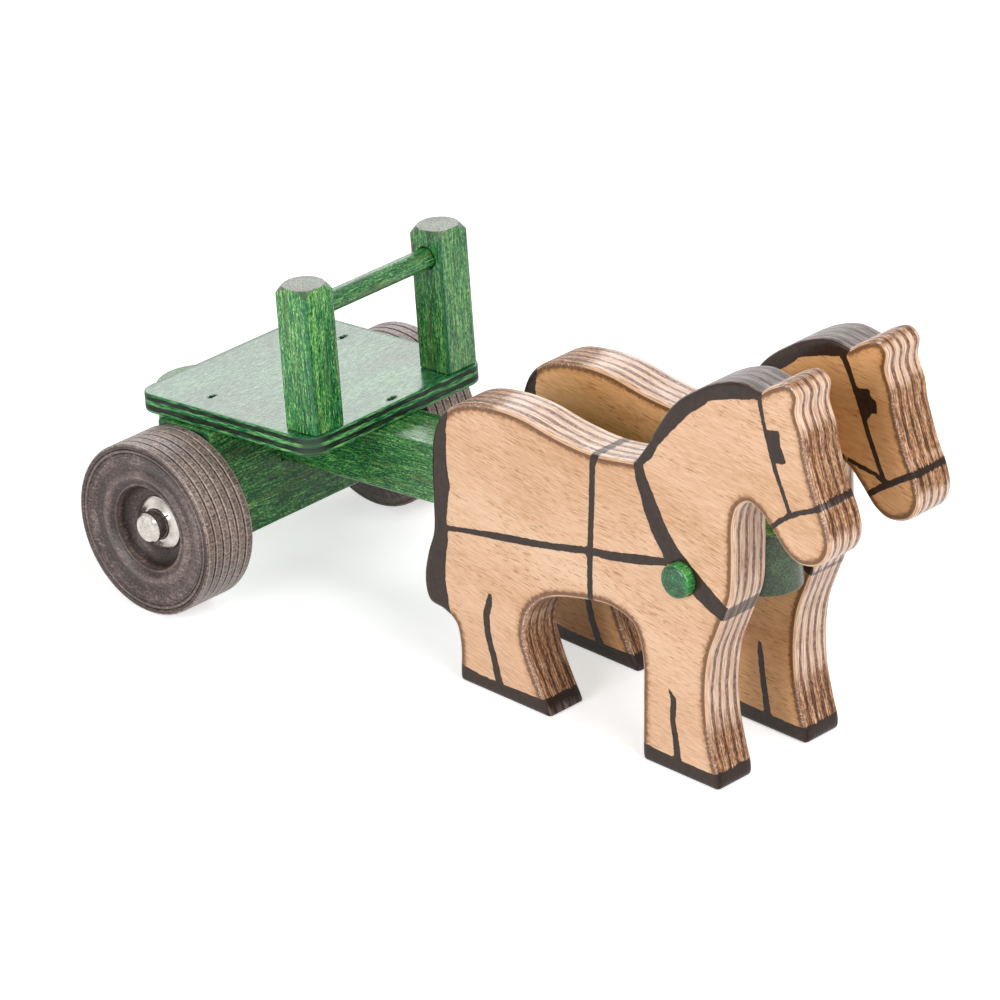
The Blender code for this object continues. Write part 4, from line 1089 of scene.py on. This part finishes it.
def post_shape(side_length, height):
    """A square post whose top corners are turned away to a cone round a flat."""
    half = side_length / 2
    outline = rounded_rectangle((-half, -half), (half, half), POST_EDGE_ROUND, 5, 12)
    outline = [(p, p.length) for p in map(Vector, outline)]
    cap = POST_CAP_RADIUS
    foot_ease, top_ease = 0.35 * MM, 0.25 * MM
    rings = [[(*(p * 0.985), 0.0) for p, r in outline], [(*p, foot_ease) for p, r in outline],
             [(*p, height * 0.5) for p, r in outline],
             [(*p, height - max(0.0, r - cap) - top_ease) for p, r in outline]]
    for share in (0.02, 0.5, 0.96):
        ring = []
        for p, r in outline:
            now = r + (min(cap, r * 0.97) - r) * share
            ring.append((*(p * now / r), height - max(0.0, now - cap)))
        rings.append(ring)
    rings.append([(*(p * (min(cap, r) - POST_CAP_EASE) / r), height) for p, r in outline])
    bm = bmesh.new()
    verts = [bm.verts.new(place) for ring in rings for place in ring]
    count = len(outline)
    for level in range(len(rings) - 1):
        for corners in strip(level * count, (level + 1) * count, count):
            bm.faces.new([verts[i] for i in corners])
    bm.faces.new(verts[:count][::-1])
    bm.faces.new(verts[-count:])
    return bm


def add_post(side, sign):
    """A handle post with its socket for the bar and its pilot hole for the screw."""
    node = f"handle_post_{side}"
    low, high = cart_box(node)
    bar_low, bar_high = cart_box("handle_bar")
    screw_top = cart_box(f"post_screw_{side}")[1].z
    bm = post_shape(high.x - low.x, high.z - low.z)
    radius = (bar_high.x - bar_low.x) / 2 + FIT
    wide = radius + BAR_SOCKET_EASE
    face = (high.x - low.x) / 2
    start, end = face - BAR_SOCKET_DEPTH, face + BAR_SOCKET_DEPTH
    socket = turned([(0.0, start), (radius, start), (radius, face - BAR_SOCKET_EASE),
                     (wide, face + 0.01 * MM), (wide, end), (0.0, end)], 48)
    rise = Matrix.Translation((0.0, 0.0, (bar_low.z + bar_high.z) / 2 - low.z))
    bm = cut(bm, moved(socket, rise @ Matrix.Rotation(pi if sign > 0 else 0.0, 4, "Z")))
    pilot = cylinder(PILOT_RADIUS, screw_top - low.z + FIT, 24)
    bm = cut(bm, moved(pilot, Matrix.Rotation(pi / 2, 4, "X")))
    stain = green_wood(f"post_{side}_green_stain", "Z", 7.7 + 3.1 * sign, POST_STAIN[side],
                       end_tint=(0.070, 0.095, 0.045), corner=face / MM)
    foot = Matrix.Translation(((low.x + high.x) / 2, (low.y + high.y) / 2, low.z))
    add_piece(f"green_post_{side}", bm, stain, "cart", node, CART @ foot, 25.0)


def add_bar():
    low, high = cart_box("handle_bar")
    radius, half = (high.x - low.x) / 2, high.y
    end = [(radius, half - BAR_END_EASE), (radius - BAR_END_EASE, half), (0.0, half)]
    profile = [(r, -y) for r, y in reversed(end)] + [(radius, 0.0)] + end
    centre = Matrix.Translation(((low.x + high.x) / 2, 0.0, (low.z + high.z) / 2))
    add_piece("green_bar", turned(profile, 64), green_wood("bar_green_stain", "Y", 4.4, 1.1),
              "cart", "handle_bar", CART @ centre)


def dress_fasteners():
    """The nails and screws keep their CAD shape and get a finish of their own."""
    finishes = {f"deck_nail_{place}": stained_nail(f"nail_{place}_stain", 1.7 * i)
                for i, place in enumerate(NAILS)}
    for i, side in enumerate(SIDES):
        finishes[f"post_screw_{side}"] = pressed_zinc(f"screw_{side}_zinc", 9.0 + i)
    for node, finish in finishes.items():
        materials = frame["nodes"][node].data.materials
        materials.clear()
        materials.append(finish)


# Horses

def horse_outline():
    """The horse's outline in millimetres from the dowel's middle, anticlockwise."""
    points = np.array([p for run in HORSE_OUTLINE for p in smooth_run(run, OUTLINE_STEP)])
    points[:, 1] -= PIVOT.z / MM
    low, high = (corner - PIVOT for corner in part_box("horse_right"))
    points = np.clip(points, (low.x / MM, low.z / MM), (high.x / MM, high.z / MM))
    return points[::-1].copy()


def paint_distance(points, side):
    """How far each point lies from the painted areas' border, negative inside the paint."""
    drop = np.array([0.0, PIVOT.z / MM])
    best = np.full(len(points), np.inf)
    for stroke in map(np.array, (*SHARED_STROKES, *OWN_STROKES[side])):
        gap = distance_to_line(points, stroke[:, :2] - drop, stroke[:, 2])
        best = np.minimum(best, gap)
    for area in (*SHARED_AREAS, *OWN_AREAS[side]):
        best = np.minimum(best, distance_to_area(points, np.array(area) - drop))
    return np.clip(best, -PAINT_LIMIT, PAINT_LIMIT)


def scorch_level(points):
    """1 within 0.3 of a scorched place's reach, and down to 0 at 1.3 of it."""
    level = np.zeros(len(points))
    for x, z, reach in SCORCHED:
        gap = np.hypot(points[:, 0] - x, points[:, 1] - (z - PIVOT.z / MM))
        level = np.maximum(level, np.clip(1.3 - gap / reach, 0.0, 1.0))
    return level


def add_horse(side, sign):
    node = f"horse_{side}"
    low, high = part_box(node)
    half = (high.y - low.y) / 2 / MM
    hole = circle(0.0, 0.0, DOWEL_HOLE_RADIUS, 64)
    points, faces, insets, runs = slab(horse_outline(), -half, half, HORSE_EDGE_ROUND, FACE_STEP,
                                        6, [hole])
    flat = points[:, :2]
    placed = np.column_stack([points[:, 0], points[:, 2], points[:, 1]]) * MM
    mesh = mesh_from(f"{side}_horse", placed, faces, inset=insets, along=runs,
                     paint=paint_distance(flat, side), scorch=scorch_level(flat))
    matrix = Matrix.Translation((PIVOT.x, (low.y + high.y) / 2, PIVOT.z))
    finish = horse_wood(f"{side}_horse_plywood", 10.0 + 4.0 * sign, HORSE_TONE_AND_SHADE[side],
                        HORSE_FIGURE[side], HORSE_NECK_SHADE[side])
    add_piece(f"{side}_horse", mesh, finish, "horses", node, matrix, 50.0)


def add_dowel():
    low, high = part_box("horse_dowel")
    half, radius = high.y, (high.z - low.z) / 2
    end = arc((radius - DOWEL_END_ROUND, half - DOWEL_END_ROUND), DOWEL_END_ROUND, 90, 0, 8)
    shape = turned(mirrored([(0.0, half), (radius * 0.45, half)] + end), 80)
    stain = green_wood("dowel_green_stain", "Y", 8.8, 1.7, 0.45, end_tint=(0.018, 0.108, 0.034),
                       relief=0.35)
    add_piece("green_dowel", shape, stain, "horses", "horse_dowel",
              Matrix.Translation(PIVOT), 30.0)


# Stage, light and camera

def backdrop_strength(tree, unseen, seen):
    """One strength for light on the toy, another for rays from the lens, a mirror or glass."""
    rays = add_node(tree, "ShaderNodeLightPath").outputs
    level = rays["Is Camera Ray"]
    for name in ("Is Glossy Ray", "Is Transmission Ray"):
        level = add_node(tree, "ShaderNodeMath", {0: level, 1: rays[name]},
                         operation="MAXIMUM").outputs[0]
    return add_node(tree, "ShaderNodeMapRange", {"Value": level, "To Min": unseen,
                                                 "To Max": seen}).outputs["Result"]


def add_floor():
    bm = bmesh.new()
    bmesh.ops.create_grid(bm, x_segments=1, y_segments=1, size=6.0)
    material = bpy.data.materials.new("floor_white")
    material.use_nodes = True
    tree = material.node_tree
    feed(tree.nodes["Principled BSDF"], {
        "Base Color": (0.80, 0.80, 0.80, 1.0), "Roughness": 0.9, "Specular IOR Level": 0.0,
        "Emission Color": (1.0, 1.0, 1.0, 1.0),
        "Emission Strength": backdrop_strength(tree, 0.0, 0.60)})
    mesh = as_mesh(bm, "floor")
    mesh.materials.append(material)
    add_object("floor", mesh)


def add_world():
    world = bpy.data.worlds.new("studio")
    bpy.context.scene.world = world
    world.use_nodes = True
    tree = world.node_tree
    feed(tree.nodes["Background"], {"Color": (1.0, 1.0, 1.0, 1.0),
                                    "Strength": backdrop_strength(tree, 0.05, 1.0)})


def way_to(azimuth, elevation):
    """The direction from the toy to a lamp or camera."""
    a, e = radians(azimuth), radians(elevation)
    return Vector((sin(a) * cos(e), -cos(a) * cos(e), sin(e)))


def add_softbox(name, azimuth, elevation, distance, size, power):
    lamp = bpy.data.lights.new(name, "AREA")
    lamp.shape = "RECTANGLE"
    lamp.size, lamp.size_y = size
    lamp.energy = power
    obj = add_object(name, lamp)
    back = way_to(azimuth, elevation)
    obj.location = Vector(TOY_MIDDLE) + back * distance
    obj.rotation_mode = "QUATERNION"
    obj.rotation_quaternion = (-back).to_track_quat("-Z", "Y")
    obj.visible_camera = False


def add_camera():
    a, roll = radians(CAMERA_AZIMUTH), radians(CAMERA_ROLL)
    back = way_to(CAMERA_AZIMUTH, CAMERA_ELEVATION)
    flat_right = Vector((cos(a), sin(a), 0.0))
    flat_up = back.cross(flat_right)
    right = flat_right * cos(roll) + flat_up * sin(roll)
    up = flat_up * cos(roll) - flat_right * sin(roll)
    data = bpy.data.cameras.new("camera")
    data.lens = CAMERA_LENS
    data.sensor_width = 36.0
    data.shift_x, data.shift_y = CAMERA_SHIFT
    camera = add_object("camera", data)
    place = Vector(CAMERA_AIM) + back * CAMERA_DISTANCE
    turn = Matrix((right, up, back)).transposed().to_4x4()
    camera.matrix_world = Matrix.Translation(place) @ turn
    bpy.context.scene.camera = camera


add_camera()
add_floor()
add_world()
for name, setting in SOFTBOXES.items():
    add_softbox(name, *setting)
bpy.context.scene.view_settings.view_transform = "Standard"

add_rod()
add_block()
add_tongue()
add_deck()
add_bar()
add_dowel()
for side, sign in SIDES.items():
    add_wheel(side, sign)
    add_push_nut(side, sign)
    add_post(side, sign)
    add_horse(side, sign)
dress_fasteners()
